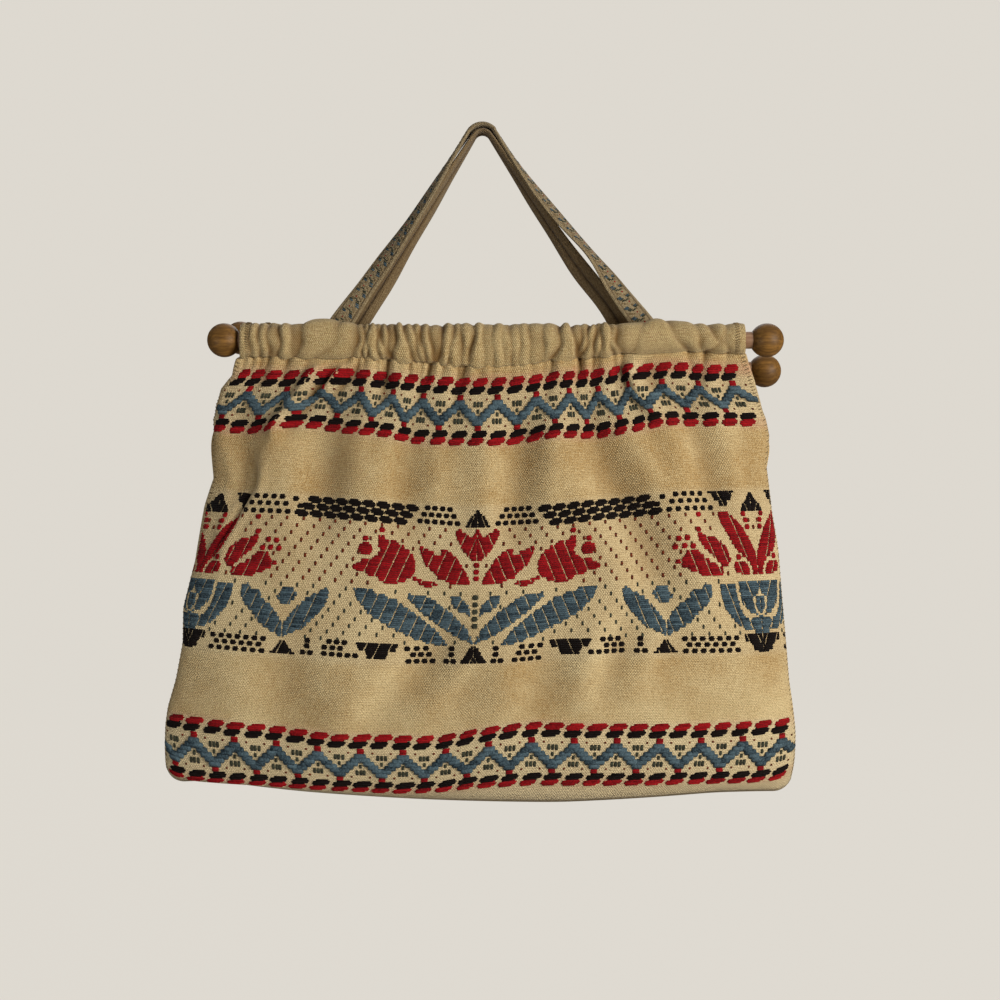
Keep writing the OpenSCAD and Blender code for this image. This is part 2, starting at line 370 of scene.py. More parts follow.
def clothMaterial(name, look):
    material, tree, shader, make = newMaterial(name, look)
    flat = make("ShaderNodeUVMap")
    flat.uv_map = "flat"
    flat = flat.outputs[0]
    weave = make("ShaderNodeGroup")
    weave.node_tree = weaveGroup
    weave.inputs["Threads"].default_value = look["threads"]
    tree.links.new(flat, weave.inputs["Flat"])
    age = noiseOn(tree, make, flat, Scale=look["ageScale"], Detail=4.0, Roughness=0.6)
    age = spread(tree, make, age, look["ageSpread"])
    parts = make("ShaderNodeSeparateXYZ")
    tree.links.new(flat, parts.inputs[0])
    down = parts.outputs["Y"]
    low, high, most = look["mouthStainAndShade"]  # the cloth is darker and more golden towards the mouth: partly stain, partly painted shade under the gathers
    mouthStainAndShade = spread(tree, make, down, (low * mm, high * mm), 0.0, most)
    colour = mixColour(tree, make, mathChain(tree, make, "ADD", age, mouthStainAndShade), look["pale"], look["deep"])
    if look["bands"]:
        edge, bleed = look["bandEdge"], look["bleed"]
        bands = [((low + high) / 2, (high - low - edge) / 2, (high - low + edge) / 2, amount)
                 for low, high, amount in look["bands"]]
        colour = mixColour(tree, make, rowMask(tree, make, down, bands), colour, look["bandGround"])
        rows = [(row, bleed["core"], bleed["reach"], amount) for row, amount in bleed["rows"]]
        stain = mathChain(tree, make, "MULTIPLY", rowMask(tree, make, down, rows), age)
        colour = mixColour(tree, make, stain, colour, bleed["colour"])  # dye that has run from the red rows
    slub = spread(tree, make, weave.outputs["Slub"], look["slubSpread"], 0.0, look["slub"])
    colour = mixColour(tree, make, slub, colour, look["thread"])
    # the dark flecks take the painted shade colour as their darker thread tone, the pale flecks the thread
    # colour
    for span, shade in ((look["fleckDark"], look["paintedShade"]), (look["fleckPale"], look["thread"])):
        fleck = spread(tree, make, weave.outputs["Fleck"], span, 0.0, look["fleck"])
        colour = mixColour(tree, make, fleck, colour, shade)
    # painted shade: the colour is darkened towards the shade colour in the valleys of the folds and creases,
    # and in the strap grooves
    paintedShade = make("ShaderNodeAttribute")
    paintedShade.attribute_name = "paintedShade"
    colour = mixColour(tree, make, paintedShade.outputs["Fac"], colour, look["paintedShade"])
    # painted shade in the gaps between the threads, where the weave's height is low
    gap = spread(tree, make, weave.outputs["Height"], look["gapShadeSpread"], look["gap"], 0.0)
    tree.links.new(mixColour(tree, make, gap, colour, look["paintedShade"]), shader.inputs["Base Color"])
    addBump(tree, make, shader, weave.outputs["Height"], look)
    shader.inputs["Sheen Weight"].default_value = look["sheen"]
    shader.inputs["Sheen Roughness"].default_value = look["sheenRoughness"]
    return material


# one colour below is the painted shade of folds, creases and thread gaps, which the dark flecks also take;
# gap sets how much painted shade the thread gaps get
clothLook = {
    "pale": srgb(226, 201, 148), "deep": srgb(184, 146, 86), "thread": srgb(232, 211, 162),
    "paintedShade": srgb(124, 92, 48), "bandGround": srgb(228, 210, 170), "bandEdge": 6,
    "bands": [(12.5, 56, 0.6), (95, 197, 0.4), (243, 300, 0.75)],
    "bleed": {"rows": [(15.5, 0.75), (53, 0.6), (246, 0.4), (283.5, 0.4)], "core": 1.0, "reach": 7.0,
              "colour": srgb(190, 96, 76)},
    "threads": 900, "ageScale": 19.0, "ageSpread": (0.36, 0.66), "mouthStainAndShade": (-150, -80, 0.34),
    "slub": 0.5, "slubSpread": (0.36, 0.64),
    "fleck": 0.46, "fleckDark": (0.5, 0.36), "fleckPale": (0.52, 0.66),
    "gap": 0.8, "gapShadeSpread": (0.1, 0.9), "bump": 0.9, "bumpDepth": 0.0004,
    "roughness": 0.92, "specular": 0.25, "sheen": 0.12, "sheenRoughness": 0.5,
}
# the casing's thread gaps get less painted shade
casingLook = dict(clothLook, bands=None, pale=srgb(186, 159, 106), deep=srgb(170, 141, 88), gap=0.45)
# the strap's shade colour is the painted shade in its grooves
strapLook = dict(clothLook, bands=None, pale=srgb(166, 146, 108), deep=srgb(140, 118, 82),
                 thread=srgb(188, 172, 136), paintedShade=srgb(78, 58, 36), threads=1100)
# painted shade: the strap that hangs behind gets a darker copy of the strap cloth
shadedStrapLook = dict(strapLook, pale=srgb(142, 120, 84), deep=srgb(120, 96, 62), thread=srgb(158, 138, 102))

yarnLook = {"fuzzScale": 950.0, "fuzzSpread": (0.34, 0.66), "bump": 0.4, "bumpDepth": 0.0003,
            "roughness": 0.86, "specular": 0.08, "sheen": 0.04}


def yarnMaterial(name, dark, light):
    material, tree, shader, make = newMaterial(name, yarnLook)
    tone = make("ShaderNodeAttribute")
    tone.attribute_name = "tone"
    place = make("ShaderNodeTexCoord").outputs["Object"]
    fuzz = noiseOn(tree, make, place, Scale=yarnLook["fuzzScale"], Detail=2.0)
    twist = spread(tree, make, fuzz, yarnLook["fuzzSpread"])
    share = mathChain(tree, make, "MULTIPLY", mathChain(tree, make, "ADD", tone.outputs["Fac"], twist), 0.5)
    tree.links.new(mixColour(tree, make, share, dark, light), shader.inputs["Base Color"])
    addBump(tree, make, shader, fuzz, yarnLook)
    shader.inputs["Sheen Weight"].default_value = yarnLook["sheen"]
    return material


yarnColours = {
    "red": (srgb(92, 4, 8), srgb(174, 24, 30)),
    "black": (srgb(8, 4, 3), srgb(26, 16, 12)),
    "blue": (srgb(14, 27, 37), srgb(96, 117, 126)),
    "dark": (srgb(44, 44, 34), srgb(78, 80, 64)),
    "rust": (srgb(76, 32, 16), srgb(126, 58, 32)),
    "sewing": (srgb(96, 78, 50), srgb(150, 128, 92)),
}
yarns = {name: yarnMaterial(name + "Yarn", *pair) for name, pair in yarnColours.items()}

grainShape = {"stretch": (60, 700, 700), "ringScale": 90.0, "ringBend": 4.0}


def makeGrainGroup():
    # long streaks along the rod with rings behind them
    group = bpy.data.node_groups.new("turnedWood", "ShaderNodeTree")
    group.interface.new_socket("Place", in_out="INPUT", socket_type="NodeSocketVector")
    group.interface.new_socket("Streak", in_out="OUTPUT", socket_type="NodeSocketFloat")
    group.interface.new_socket("Ring", in_out="OUTPUT", socket_type="NodeSocketFloat")
    make = nodeMaker(group)
    entry, leave = make("NodeGroupInput"), make("NodeGroupOutput")
    stretch = make("ShaderNodeMapping", Scale=grainShape["stretch"])
    group.links.new(entry.outputs[0], stretch.inputs["Vector"])
    streak = noiseOn(group, make, stretch.outputs[0], Scale=1.0, Detail=5.0, Roughness=0.6)
    ring = make("ShaderNodeTexWave", Scale=grainShape["ringScale"], Distortion=grainShape["ringBend"],
                Detail=2.0)
    ring.bands_direction = "Z"
    group.links.new(entry.outputs[0], ring.inputs["Vector"])
    group.links.new(streak, leave.inputs["Streak"])
    group.links.new(ring.outputs["Fac"], leave.inputs["Ring"])
    return group


grainGroup = makeGrainGroup()


def woodMaterial(name, look):
    material, tree, shader, make = newMaterial(name, look)
    place = make("ShaderNodeTexCoord").outputs["Object"]
    grain = make("ShaderNodeGroup")
    grain.node_tree = grainGroup
    tree.links.new(place, grain.inputs[0])
    streak = spread(tree, make, grain.outputs["Streak"], look["streakSpread"])
    colour = mixColour(tree, make, streak, look["dark"], look["light"])
    ringPart = mathChain(tree, make, "MULTIPLY", grain.outputs["Ring"], look["ring"])
    colour = mixColour(tree, make, ringPart, colour, look["dark"])
    grime = noiseOn(tree, make, place, Scale=look["grimeScale"], Detail=3.0)
    grime = spread(tree, make, grime, look["grimeSpread"], 0.0, look["grime"])
    tree.links.new(mixColour(tree, make, grime, colour, look["stain"]), shader.inputs["Base Color"])
    addBump(tree, make, shader, grain.outputs["Streak"], look)
    return material


knobLook = {"dark": srgb(92, 62, 24), "light": srgb(156, 112, 52), "stain": srgb(66, 44, 20), "ring": 0.35,
            "streakSpread": (0.3, 0.7), "grime": 0.55, "grimeScale": 70.0, "grimeSpread": (0.45, 0.75),
            "bump": 0.15, "bumpDepth": 0.0003, "roughness": 0.5, "specular": 0.25}
rodLook = dict(knobLook, dark=srgb(150, 112, 84), light=srgb(190, 156, 126), stain=srgb(120, 86, 62),
               ring=0.2, grime=0.4, roughness=0.55)
knobWood, rodWood = woodMaterial("knobWood", knobLook), woodMaterial("rodWood", rodLook)
for name, node in nodes.items():
    if "knob" in name or "rod" in name:
        setMaterial(node, knobWood if "knob" in name else rodWood)
panelCloth = clothMaterial("panelCloth", clothLook)
casingCloth = clothMaterial("casingCloth", casingLook)
strapCloth = clothMaterial("strapCloth", strapLook)
shadedStrapCloth = clothMaterial("shadedStrapCloth", shadedStrapLook)
print("materials done")


# The hanging shape of the bag, in millimetres

bag = {"width": 414, "height": 290, "depth": 60, "slit": 45, "corner": 13, "sag": 10, "footX": -2,
       "casing": 326, "stitchDrop": 15, "mouthX": 6.9, "backShift": 6, "backDrop": 6, "backTilt": 3.6,
       "rodGap": 34, "rise": 138, "strapReach": {front: 108, back: 98},
       "flatWidth": 440, "flatLength": 300, "cloth": 1.2,
       # shares of the drop at which the bag is at its full width and depth, and starts to close at the foot
       "fullWidth": 0.87, "fullDepth": 0.6, "closeFrom": 0.78, "closing": 0.22,
       "widenPower": 0.55, "gapePower": 1.2, "cornerPower": 9, "ease": 0.4, "skin": 0.3}
rowFlat = [0, 15.5, 53, 96, 195, 246, 283.5, 300]
rowShare = [0, 0.056, 0.186, 0.328, 0.667, 0.841, 0.952, 1]
stitchZ = -bag["rise"] - bag["stitchDrop"]
footZ, slitZ = stitchZ - bag["height"], stitchZ - bag["slit"]
slitShare = bag["slit"] / bag["height"]

# how far each woven row hangs above or below its even place: flat row: (across, lift) pairs
rowLifts = {
    15.5: [(-220, 9.4), (-186, 8.7), (-172, 7.6), (-135, 9.8), (-97, 7.3), (-59, 4.7), (-14, 2.4),
           (20, 3.2), (48, 6.4), (85, 8), (119, 11.6), (150, 13.6), (166, 13.6), (180, 11.6), (220, 13)],
    53: [(-220, 13), (-193, 10.6), (-176, 11), (-153, 15.2), (-139, 14.8), (-108, 9.9), (-81, 8.6),
         (-56, 4), (3, 2.2), (43, 7.2), (81, 7.8), (109, 10.2), (137, 15.4), (152, 16.4), (170, 15.6),
         (220, 15.8)],
    103: [(-220, 10.5), (-130, 9), (-64, 4.6), (-7, 1), (21, 3), (46, 3.5), (81, 7), (118, 10), (147, 11.4),
          (220, 11.4)],
    189: [(-220, 3.2), (-186, 3), (-119, 1.4), (-57, -0.7), (-4, 0), (59, 3.2), (126, 3.1), (195, 0.9),
          (220, 0.5)],
    246: [(-220, 4), (-199, 5), (-149, 3.5), (-96, 0.8), (-27, 0.8), (-7, 4.8), (5, 7.6), (33, 10),
          (59, 8.5), (79, 8), (147, 4.3), (197, 2.5), (220, 1)],
    283.5: [(-220, -1), (-200, -3.5), (-150, -1.8), (-54, -2.2), (-27, -1), (-7, 2.3), (34, 4.3), (62, 3.4),
            (140, 0.2), (200, -3.6), (220, -1)],
    300: [(-220, 4), (-203, 7.5), (-176, 8), (-126, 5.6), (-28, 3), (57, 1), (120, 1.8), (165, 2.5),
          (196, 1), (220, -1)],
}
# how the gathers bunch the upper band sideways: (across, shift)
bunching = [(-220, 7), (-195, 1), (-166, 0.8), (-137, 3.4), (-109, 3.6), (-80, 1), (-52, -3), (-23, -1.8),
            (5, -0.5), (34, 2), (63, 0.2), (91, -4.3), (120, -7), (148, -9.4), (177, -8), (206, -8),
            (220, -3)]


def casingMiddle(side):
    rear = side == back
    return np.array([bag["mouthX"] + rear * bag["backShift"], side * bag["rodGap"] / 2,
                     -bag["rise"] - rear * bag["backDrop"]])


def casingTilt(side):
    return math.radians(bag["backTilt"]) if side == back else 0.0


def hangingShape(side, u, flatDown):
    v = smoothThrough(rowFlat, rowShare, flatDown)
    sewn = np.minimum(1, v / slitShare)
    tilt, middle = casingTilt(side), casingMiddle(side)
    ease = bag["ease"] * (np.sin(np.pi / 2 * u) - u)
    wide = u + ease * sewn
    grown = np.minimum(1, v / bag["fullWidth"]) ** bag["widenPower"]
    half = (bag["casing"] + (bag["width"] - bag["casing"]) * grown) / 2
    swell = np.sin(np.pi / 2 * np.minimum(1, v / bag["fullDepth"]))
    closed = np.maximum(0, (v - bag["closeFrom"]) / bag["closing"])
    stillOpen = np.sqrt(np.maximum(0, 1 - closed ** 2))
    deep = (bag["rodGap"] + (bag["depth"] - bag["rodGap"]) * swell) / 2 * stillOpen
    lens = np.sqrt(np.maximum(0, 1 - wide ** 2))
    gape = bag["rodGap"] / 2 * (1 - sewn) ** bag["gapePower"]
    bulge = gape + np.maximum(0, deep - gape) * (1 + (lens - 1) * sewn)
    stitchX = middle[0] - bag["stitchDrop"] * math.sin(tilt)
    midX = bag["mouthX"] + (bag["footX"] - bag["mouthX"]) * v + (stitchX - bag["mouthX"]) * (1 - sewn)
    topZ = middle[2] - bag["casing"] / 2 * u * math.sin(tilt) - bag["stitchDrop"] * math.cos(tilt)
    s = u + ease
    inside = np.maximum(0, np.abs(s) * bag["width"] / 2 - bag["width"] / 2 + bag["corner"])
    bottom = footZ + bag["sag"] * s ** 2
    rounded = bag["corner"] - np.sqrt(np.maximum(0, bag["corner"] ** 2 - inside ** 2))
    low = np.maximum(0, v - slitShare) / (1 - slitShare)
    lower = slitZ + (bottom - slitZ) * low + rounded * low ** bag["cornerPower"]
    z = np.where(v < slitShare, topZ + (slitZ - topZ) * sewn, lower)
    return midX + half * wide, side * (bulge + bag["skin"]), z, sewn, v


liftAcross = np.linspace(-240, 240, 97)  # every 5 mm
easing = np.hanning(9) / np.hanning(9).sum()


def easedRow(pairs):
    line = np.interp(liftAcross, *zip(*pairs))
    margin = len(easing) // 2
    line[margin:-margin] = np.convolve(line, easing, "valid")
    return line


easedRows = [easedRow(pairs) for pairs in rowLifts.values()]


def smoothStep(t):
    return t * t * (3 - 2 * t)


def rowLift(across, down):
    keys = np.array(list(rowLifts), float)
    k = int(np.clip(np.searchsorted(keys, down) - 1, 0, len(keys) - 2))
    t = smoothStep(min(1.0, max(0.0, (down - keys[k]) / (keys[k + 1] - keys[k]))))
    upper, lower = (np.interp(across, liftAcross, easedRows[row]) for row in (k, k + 1))
    return upper * (1 - t) + lower * t


# creases drawn up on the rods, in millimetres along the casing:
# place over the rod, place on its face, place at the stitch line, depth, half width
creases = {
    front: [(-157.4, -157, -156.4, 1.6, 1.8), (-151, -150.6, -150.2, 1.8, 1.8),
            (-144.8, -144.6, -144.1, 2.0, 1.8), (-137.7, -137, -139, 2.2, 1.8),
            (-130.6, -130, -128, 1.0, 2.2), (-121.9, -124.5, -126.8, 1.9, 3.4), (-97, -101, -114, 1.0, 3.2),
            (-87.5, -87.6, -90.1, 2.0, 2.4), (-83, -83, -84, 2.0, 1.3), (-79.7, -80, -80.4, 1.8, 1.3),
            (-76.3, -74.5, -72.4, 2.2, 1.4), (-72.7, -71, -68.8, 2.0, 1.4), (-68.8, -67.5, -65.6, 2.0, 1.4),
            (-62.4, -63, -64.9, 2.4, 1.7), (-58.5, -55.5, -51, 2.6, 1.7), (-52.7, -50, -46.3, 2.0, 1.6),
            (-47.2, -45.4, -43, 2.2, 1.6), (-40.7, -40, -37.9, 2.2, 1.7), (-32.7, -31.5, -36.2, 2.8, 1.9),
            (-25, -26, -28.6, 1.6, 1.8), (-19.9, -20.4, -19.9, 1.8, 1.8), (-12.1, -12.4, -15.7, 2.6, 1.8),
            (-5.7, -5.5, -5.5, 1.1, 2.0), (0.8, 0.5, 0.8, 1.0, 2.0), (7.2, 7, 7.4, 1.1, 2.2),
            (11.1, 11.5, 12, 1.3, 2.2), (17, 17, 17.4, 0.9, 2.0), (23.3, 23.5, 24, 1.2, 2.2),
            (33, 33.4, 32, 1.2, 2.2), (43.9, 44, 37.5, 2.4, 2.0), (50.4, 52.5, 55.5, 2.6, 1.6),
            (57.5, 56.5, 54.2, 1.6, 1.5), (63.9, 61, 56.2, 2.2, 1.6), (66.9, 66.4, 65.2, 2.4, 1.6),
            (71, 70, 68.4, 2.0, 1.5), (74.9, 76, 78.1, 2.0, 1.5), (79.6, 80.6, 83.4, 2.2, 2.2),
            (100, 94, 89, 0.9, 3.0), (109.9, 120.5, 125.7, 1.7, 3.0), (129.6, 133, 136, 1.4, 2.6),
            (137.3, 145.7, 138, 1.8, 2.6), (150.8, 151, 152, 1.1, 2.4)],
    back: [],
}
backGathers = {"seed": 58, "end": 157.0, "smoothAt": (-104, 92), "smoothReach": 15, "skip": 6, "lean": 4,
               "faceShare": (0.1, 0.6), "depth": (1.1, 2.7), "half": (1.4, 2.2), "pitch": (4.6, 11)}


def gatherBack():
    rng = np.random.default_rng(backGathers["seed"])
    made = []
    place = -backGathers["end"]
    while place < backGathers["end"]:
        if min(abs(place - at) for at in backGathers["smoothAt"]) < backGathers["smoothReach"]:
            place += backGathers["skip"]  # the cloth lies smooth where a strap pulls on it
            continue
        lean = rng.uniform(-backGathers["lean"], backGathers["lean"])
        face = place + lean * rng.uniform(*backGathers["faceShare"])
        depth, half = rng.uniform(*backGathers["depth"]), rng.uniform(*backGathers["half"])
        made.append((place, face, place + lean, depth, half))
        place += rng.uniform(*backGathers["pitch"])
    return made


creases[back] = gatherBack()
squeeze = bag["casing"] / bag["flatWidth"]

# single folds that run on down the cloth, and the soft hollows between them, in flat millimetres
folds = {
    front: {
        # points across and down, half width, height, lean, where it starts and ends
        "tucks": [([(-141, 5), (-152, 25), (-163, 55)], 7.5, 5.8, -3.4, 7, 72),
                  ([(-116, 5), (-128, 16), (-140, 34)], 6, 4.6, -3.4, 7, 46),
                  ([(-98, 0), (-111, 14)], 6, 3.2, -1.5, 7, 26),
                  ([(-69, 0), (-79, 12)], 6, 3.0, -1.5, 7, 24),
                  ([(-40, 0), (-46, 14)], 6, 2.0, -1.0, 7, 24), ([(62, 0), (58, 14)], 6, 2.2, 1.0, 7, 24),
                  ([(112, 0), (122, 13), (136, 40)], 9, 4.8, -4.0, 7, 58),
                  ([(84, 0), (86, 22)], 6, 3.0, -2.0, 7, 30), ([(186, 0), (188, 34)], 8, 2.8, -2.0, 7, 46)],
        # points across and down, half width, depth
        "hollows": [([(-192, 40), (-190, 110)], 14, 4.6), ([(-128, 46), (-122, 112)], 17, 5.4),
                    ([(-60, 50), (-62, 104)], 13, 3.4), ([(20, 40), (22, 114)], 15, 4.6),
                    ([(76, 46), (126, 160)], 18, 6.4), ([(164, 44), (166, 112)], 13, 4.4),
                    ([(-140, 190), (-134, 250)], 24, 4.4), ([(-30, 180), (-68, 236)], 17, 5.2),
                    ([(98, 178), (84, 220)], 13, 4.4), ([(44, 186), (40, 240)], 18, 3.6),
                    ([(-40, 120), (-30, 250)], 28, 2.4), ([(120, 150), (146, 250)], 26, 2.4),
                    ([(-178, 92), (-200, 134)], 5, 4.2)]},
    back: {
        "tucks": [([(-160, 0), (-150, 50)], 9, 4.4, 3.0, 7, 60), ([(30, 0), (44, 40)], 8, 3.8, 2.5, 7, 52),
                  ([(104, 0), (92, 30)], 7, 3.4, -2.0, 7, 42), ([(182, 0), (186, 40)], 8, 2.8, 2.0, 7, 48),
                  ([(-70, 0), (-82, 20)], 6.5, 3.2, -1.5, 7, 32)],
        "hollows": [([(-180, 40), (-176, 120)], 15, 3.4), ([(-60, 50), (-84, 140)], 17, 3.8),
                    ([(70, 40), (60, 150)], 16, 3.4), ([(150, 44), (156, 130)], 14, 3.0),
                    ([(-110, 180), (-100, 250)], 22, 3.4), ([(20, 190), (30, 250)], 24, 3.0),
                    ([(130, 180), (120, 250)], 22, 3.0)]},
}


crease = {"near": 0.65, "far": 1.35, "sharp": 1.15, "roll": 0.24, "rollAt": 1.8, "rollWidth": 1.2}


def creaseShape(off, lean):
    # a sharp valley, steeper on the side it leans to, with the roll of cloth beside it
    off = off * (1 if lean >= 0 else -1)
    steep = np.where(off > 0, crease["near"], crease["far"])
    roll = crease["roll"] * np.exp(-((off - crease["rollAt"]) / crease["rollWidth"]) ** 2)
    return np.exp(-(np.abs(off) / steep) ** crease["sharp"]) - roll


# the flat row that is sewn to the casing, and the first woven row below it
seam = {"row": 6.5, "woven": 15.5, "stretch": 1.045, "tucked": 0.2, "draw": 3.0, "drawWidth": 1.6,
        "drawPower": 1.2, "drawFall": 4, "backLift": 0.8}


def seamDraw(side, along):
    # the stitch line is drawn up where the cloth creases
    drawn = sum(depth * np.exp(-(np.abs(along - foot) / (seam["drawWidth"] * half)) ** seam["drawPower"])
                for top, face, foot, depth, half in creases[side])
    return seam["draw"] * np.tanh(drawn / 2)


def seamRise(side, along):
    # the casing's seam follows the first woven row
    u = along / (bag["casing"] / 2)
    even, woven = (hangingShape(side, u, np.full(u.shape, float(row)))[2] for row in (0, seam["woven"]))
    lift = rowLift(along / squeeze, 0) if side == front else seam["backLift"] * rowLift(-along / squeeze, 0)
    return woven - even + lift + (seam["woven"] - seam["row"]) * seam["stretch"] + seamDraw(side, along)


# how the folds run out below the casing, and the slack waves of the loose cloth
foldRun = {"puff": 7.0, "puffFall": 18, "hiddenFall": 3.5, "nick": 0.4, "nickFall": 2.2,
           "drift": 0.06, "mostDrift": 0.35, "widenOver": 13, "gain": 1.5, "fall": 7, "fallByDepth": 6,
           "tuckIn": 9, "tuckOut": 26, "crest": 1.4, "ditch": 0.45, "ditchAt": 1.5, "ditchWidth": 1.2,
           "hollowGain": 1.25, "hollowEnd": 18, "brim": 0.45, "brimAt": 1.6, "brimWidth": 1.5}
slack = {"phase": {front: 0.4, back: 2.4}, "start": 20,
         "broad": 0.9, "long": 0.7, "short": 0.5, "ripple": 0.3}


def lineAt(line, down):
    return np.interp(down, [p[1] for p in line], [p[0] for p in line])


def slackWaves(side, across, down):
    u = across / (bag["flatWidth"] / 2)
    phase = slack["phase"][side]
    return (1 - np.exp(-down / slack["start"])) * (
        slack["broad"] * np.sin(10.8 * u + 1.5 * down / 300 - phase) * np.exp(-down / 260)
        + slack["long"] * np.sin(4.4 * u - 3.5 * down / 300 + 2 * phase)
        + slack["short"] * np.sin(23 * u + down / 40 + phase)
        + slack["ripple"] * np.sin(9 * u + down / 13) * np.sin(31 * u - down / 21))


def foldField(side, across, down):
    # outward height and sideways lean of every fold, at each point of the flat cloth
    below = down - seam["row"]
    past = np.maximum(below, 0)
    hidden = np.exp(-(np.minimum(below, 0) / foldRun["hiddenFall"]) ** 2)  # the edge behind the casing
    height = (foldRun["puff"] * np.exp(-past / foldRun["puffFall"]) * hidden
              - foldRun["nick"] * np.exp(-np.abs(below) / foldRun["nickFall"]))
    for top, face, foot, depth, half in creases[side]:
        drift = max(-foldRun["mostDrift"], min(foldRun["mostDrift"], foldRun["drift"] * (foot - face)))
        wide = half / squeeze * (1 + past / foldRun["widenOver"])
        off = (across - foot / squeeze - drift * past) / wide
        fall = np.exp(-past / (foldRun["fall"] + foldRun["fallByDepth"] * depth))
        height -= foldRun["gain"] * depth * hidden * fall * creaseShape(off, face - foot)
    lean = np.zeros(across.shape)
    for line, half, tall, over, start, stop in folds[side]["tucks"]:
        comes, goes = (down - start) / foldRun["tuckIn"], (stop - down) / foldRun["tuckOut"]
        fade = smoothStep(np.clip(comes, 0, 1) * np.clip(goes, 0, 1))
        off = (across - lineAt(line, down)) / half
        crest = np.exp(-off ** 2 * foldRun["crest"]) * fade
        ditch = np.exp(-((off + foldRun["ditchAt"] * np.sign(over)) ** 2) * foldRun["ditchWidth"])
        height += tall * (crest - foldRun["ditch"] * ditch * fade)
        lean += over * crest
    for line, half, depth in folds[side]["hollows"]:
        start, stop = line[0][1], line[-1][1]
        mid, reach = (start + stop) / 2, (stop - start) / 2 + foldRun["hollowEnd"]
        along = np.clip(1 - ((down - mid) / reach) ** 2, 0, 1)
        off = (across - lineAt(line, down)) / half
        brim = foldRun["brim"] * np.exp(-(np.abs(off) - foldRun["brimAt"]) ** 2 * foldRun["brimWidth"])
        height += foldRun["hollowGain"] * depth * along * (brim - np.exp(-off ** 2))
    return height + slackWaves(side, across, down), lean


# rows lie closer in the gathers, by the two shares even and closer
panelShape = {"across": 360, "down": 100, "even": 0.55, "closer": 0.45, "fine": 241,
              "seamFrom": 250, "seamReach": 50,
              "bunchRow": 34, "bunchReach": 30, "bunch": {front: 1, back: 0.3},
              "edgeFrom": 150, "edgeReach": 65, "freeTo": 45, "freeFade": 25, "sidePower": 6, "footPower": 5,
              # the last three keys on the next line set the painted shade in the fold valleys: smoothing
              # rounds, depth for full shade, and the most shade
              "eased": 0.25, "easeRounds": 2, "shadeRounds": 30, "shadeDepth": 1.7, "shadeMost": 0.9}
# a pleat that takes in some of the middle band at the left:
# (across, flat row) of its lip, and how much it takes
pleat = {"line": [(-174, 90), (-195, 130), (-206, 152)], "taken": 6, "middle": 106, "reach": 44, "lip": 9,
         "sideEase": 10}
# how far each side edge lies to the right of its even place: (flat row, shift)
edgeShift = {
    -1: [(8, 1), (17, 1), (26, -6), (37, -8.5), (47, -8), (56, -4), (67, -0.5), (77, 2.5), (87, 5.5),
         (106, 3), (141, 2.5), (170, -1), (194, 2), (220, 1), (240, -1.6), (270, -1.6), (300, 0)],
    1: [(12, -4), (22, -1.5), (37, 1.5), (50, 3), (62, 2.5), (80, -3), (112, -3), (135, -1.2), (158, -1.2),
        (185, -1), (220, -1), (236, 0), (262, 1), (280, 1), (300, 0)],
}
surfaces = {}


def outwardOf(points):
    outward = -np.cross(np.gradient(points, axis=1), np.gradient(points, axis=0))
    return outward / (np.linalg.norm(outward, axis=2, keepdims=True) + 1e-9)


def panelRow(side, flatAcross, down):
    # one row of the cloth as it hangs, before its folds
    fine = np.sin(np.linspace(-np.pi / 2, np.pi / 2, panelShape["fine"]))
    x, y, z, sewn, v = hangingShape(side, fine, np.full(fine.shape, down))
    run = np.concatenate([[0], np.cumsum(np.hypot(np.diff(x), np.diff(y)))])
    share = np.clip(flatAcross / (bag["flatWidth"] / 2), -1, 1)
    u = np.interp(share, run / run[-1] * 2 - 1, fine)
    x, y, z, sewn, v = hangingShape(side, u, np.full(u.shape, down))
    lift = rowLift(flatAcross, down)
    if side == back:  # it hangs as the front does, seen from its own side, and meets the front at the foot
        toSeam = np.clip((down - panelShape["seamFrom"]) / panelShape["seamReach"], 0, 1)
        lift = (1 - toSeam) * seam["backLift"] * rowLift(-flatAcross, down) + toSeam * lift
    if down < seam["woven"]:
        z = hangingShape(side, u, np.full(u.shape, seam["woven"]))[2]
        z = z + (seam["woven"] - max(down, seam["row"])) * seam["stretch"]
        z = z + max(0, seam["row"] - down) * seam["tucked"]
    nearSeam = math.exp(-abs(down - seam["row"]) / seam["drawFall"])
    z = z + lift + seamDraw(side, flatAcross * squeeze) * nearSeam
    nearBunch = np.exp(-((down - panelShape["bunchRow"]) / panelShape["bunchReach"]) ** 2)
    x = x + np.interp(flatAcross, *zip(*bunching)) * nearBunch * panelShape["bunch"][side]
    for edge, table in edgeShift.items():
        near = np.clip((edge * flatAcross - panelShape["edgeFrom"]) / panelShape["edgeReach"], 0, 1) ** 2
        held = 1
        if side == back:  # the back hangs free of the slit
            held = min(1, max(0, (down - panelShape["freeTo"]) / panelShape["freeFade"]))
        x = x + near * held * np.interp(down, *zip(*table))
    if side == front:
        taken = pleat["taken"] * max(0, 1 - ((down - pleat["middle"]) / pleat["reach"]) ** 2)
        past = np.clip((lineAt(pleat["line"], down) - flatAcross) / pleat["lip"], 0, 1)
        x = x + taken * past * np.clip((flatAcross + bag["flatWidth"] / 2) / pleat["sideEase"], 0, 1)
    fade = (1 - sewn * np.abs(u) ** panelShape["sidePower"]) * (1 - v ** panelShape["footPower"])
    return np.stack([x, y, z], 1), fade


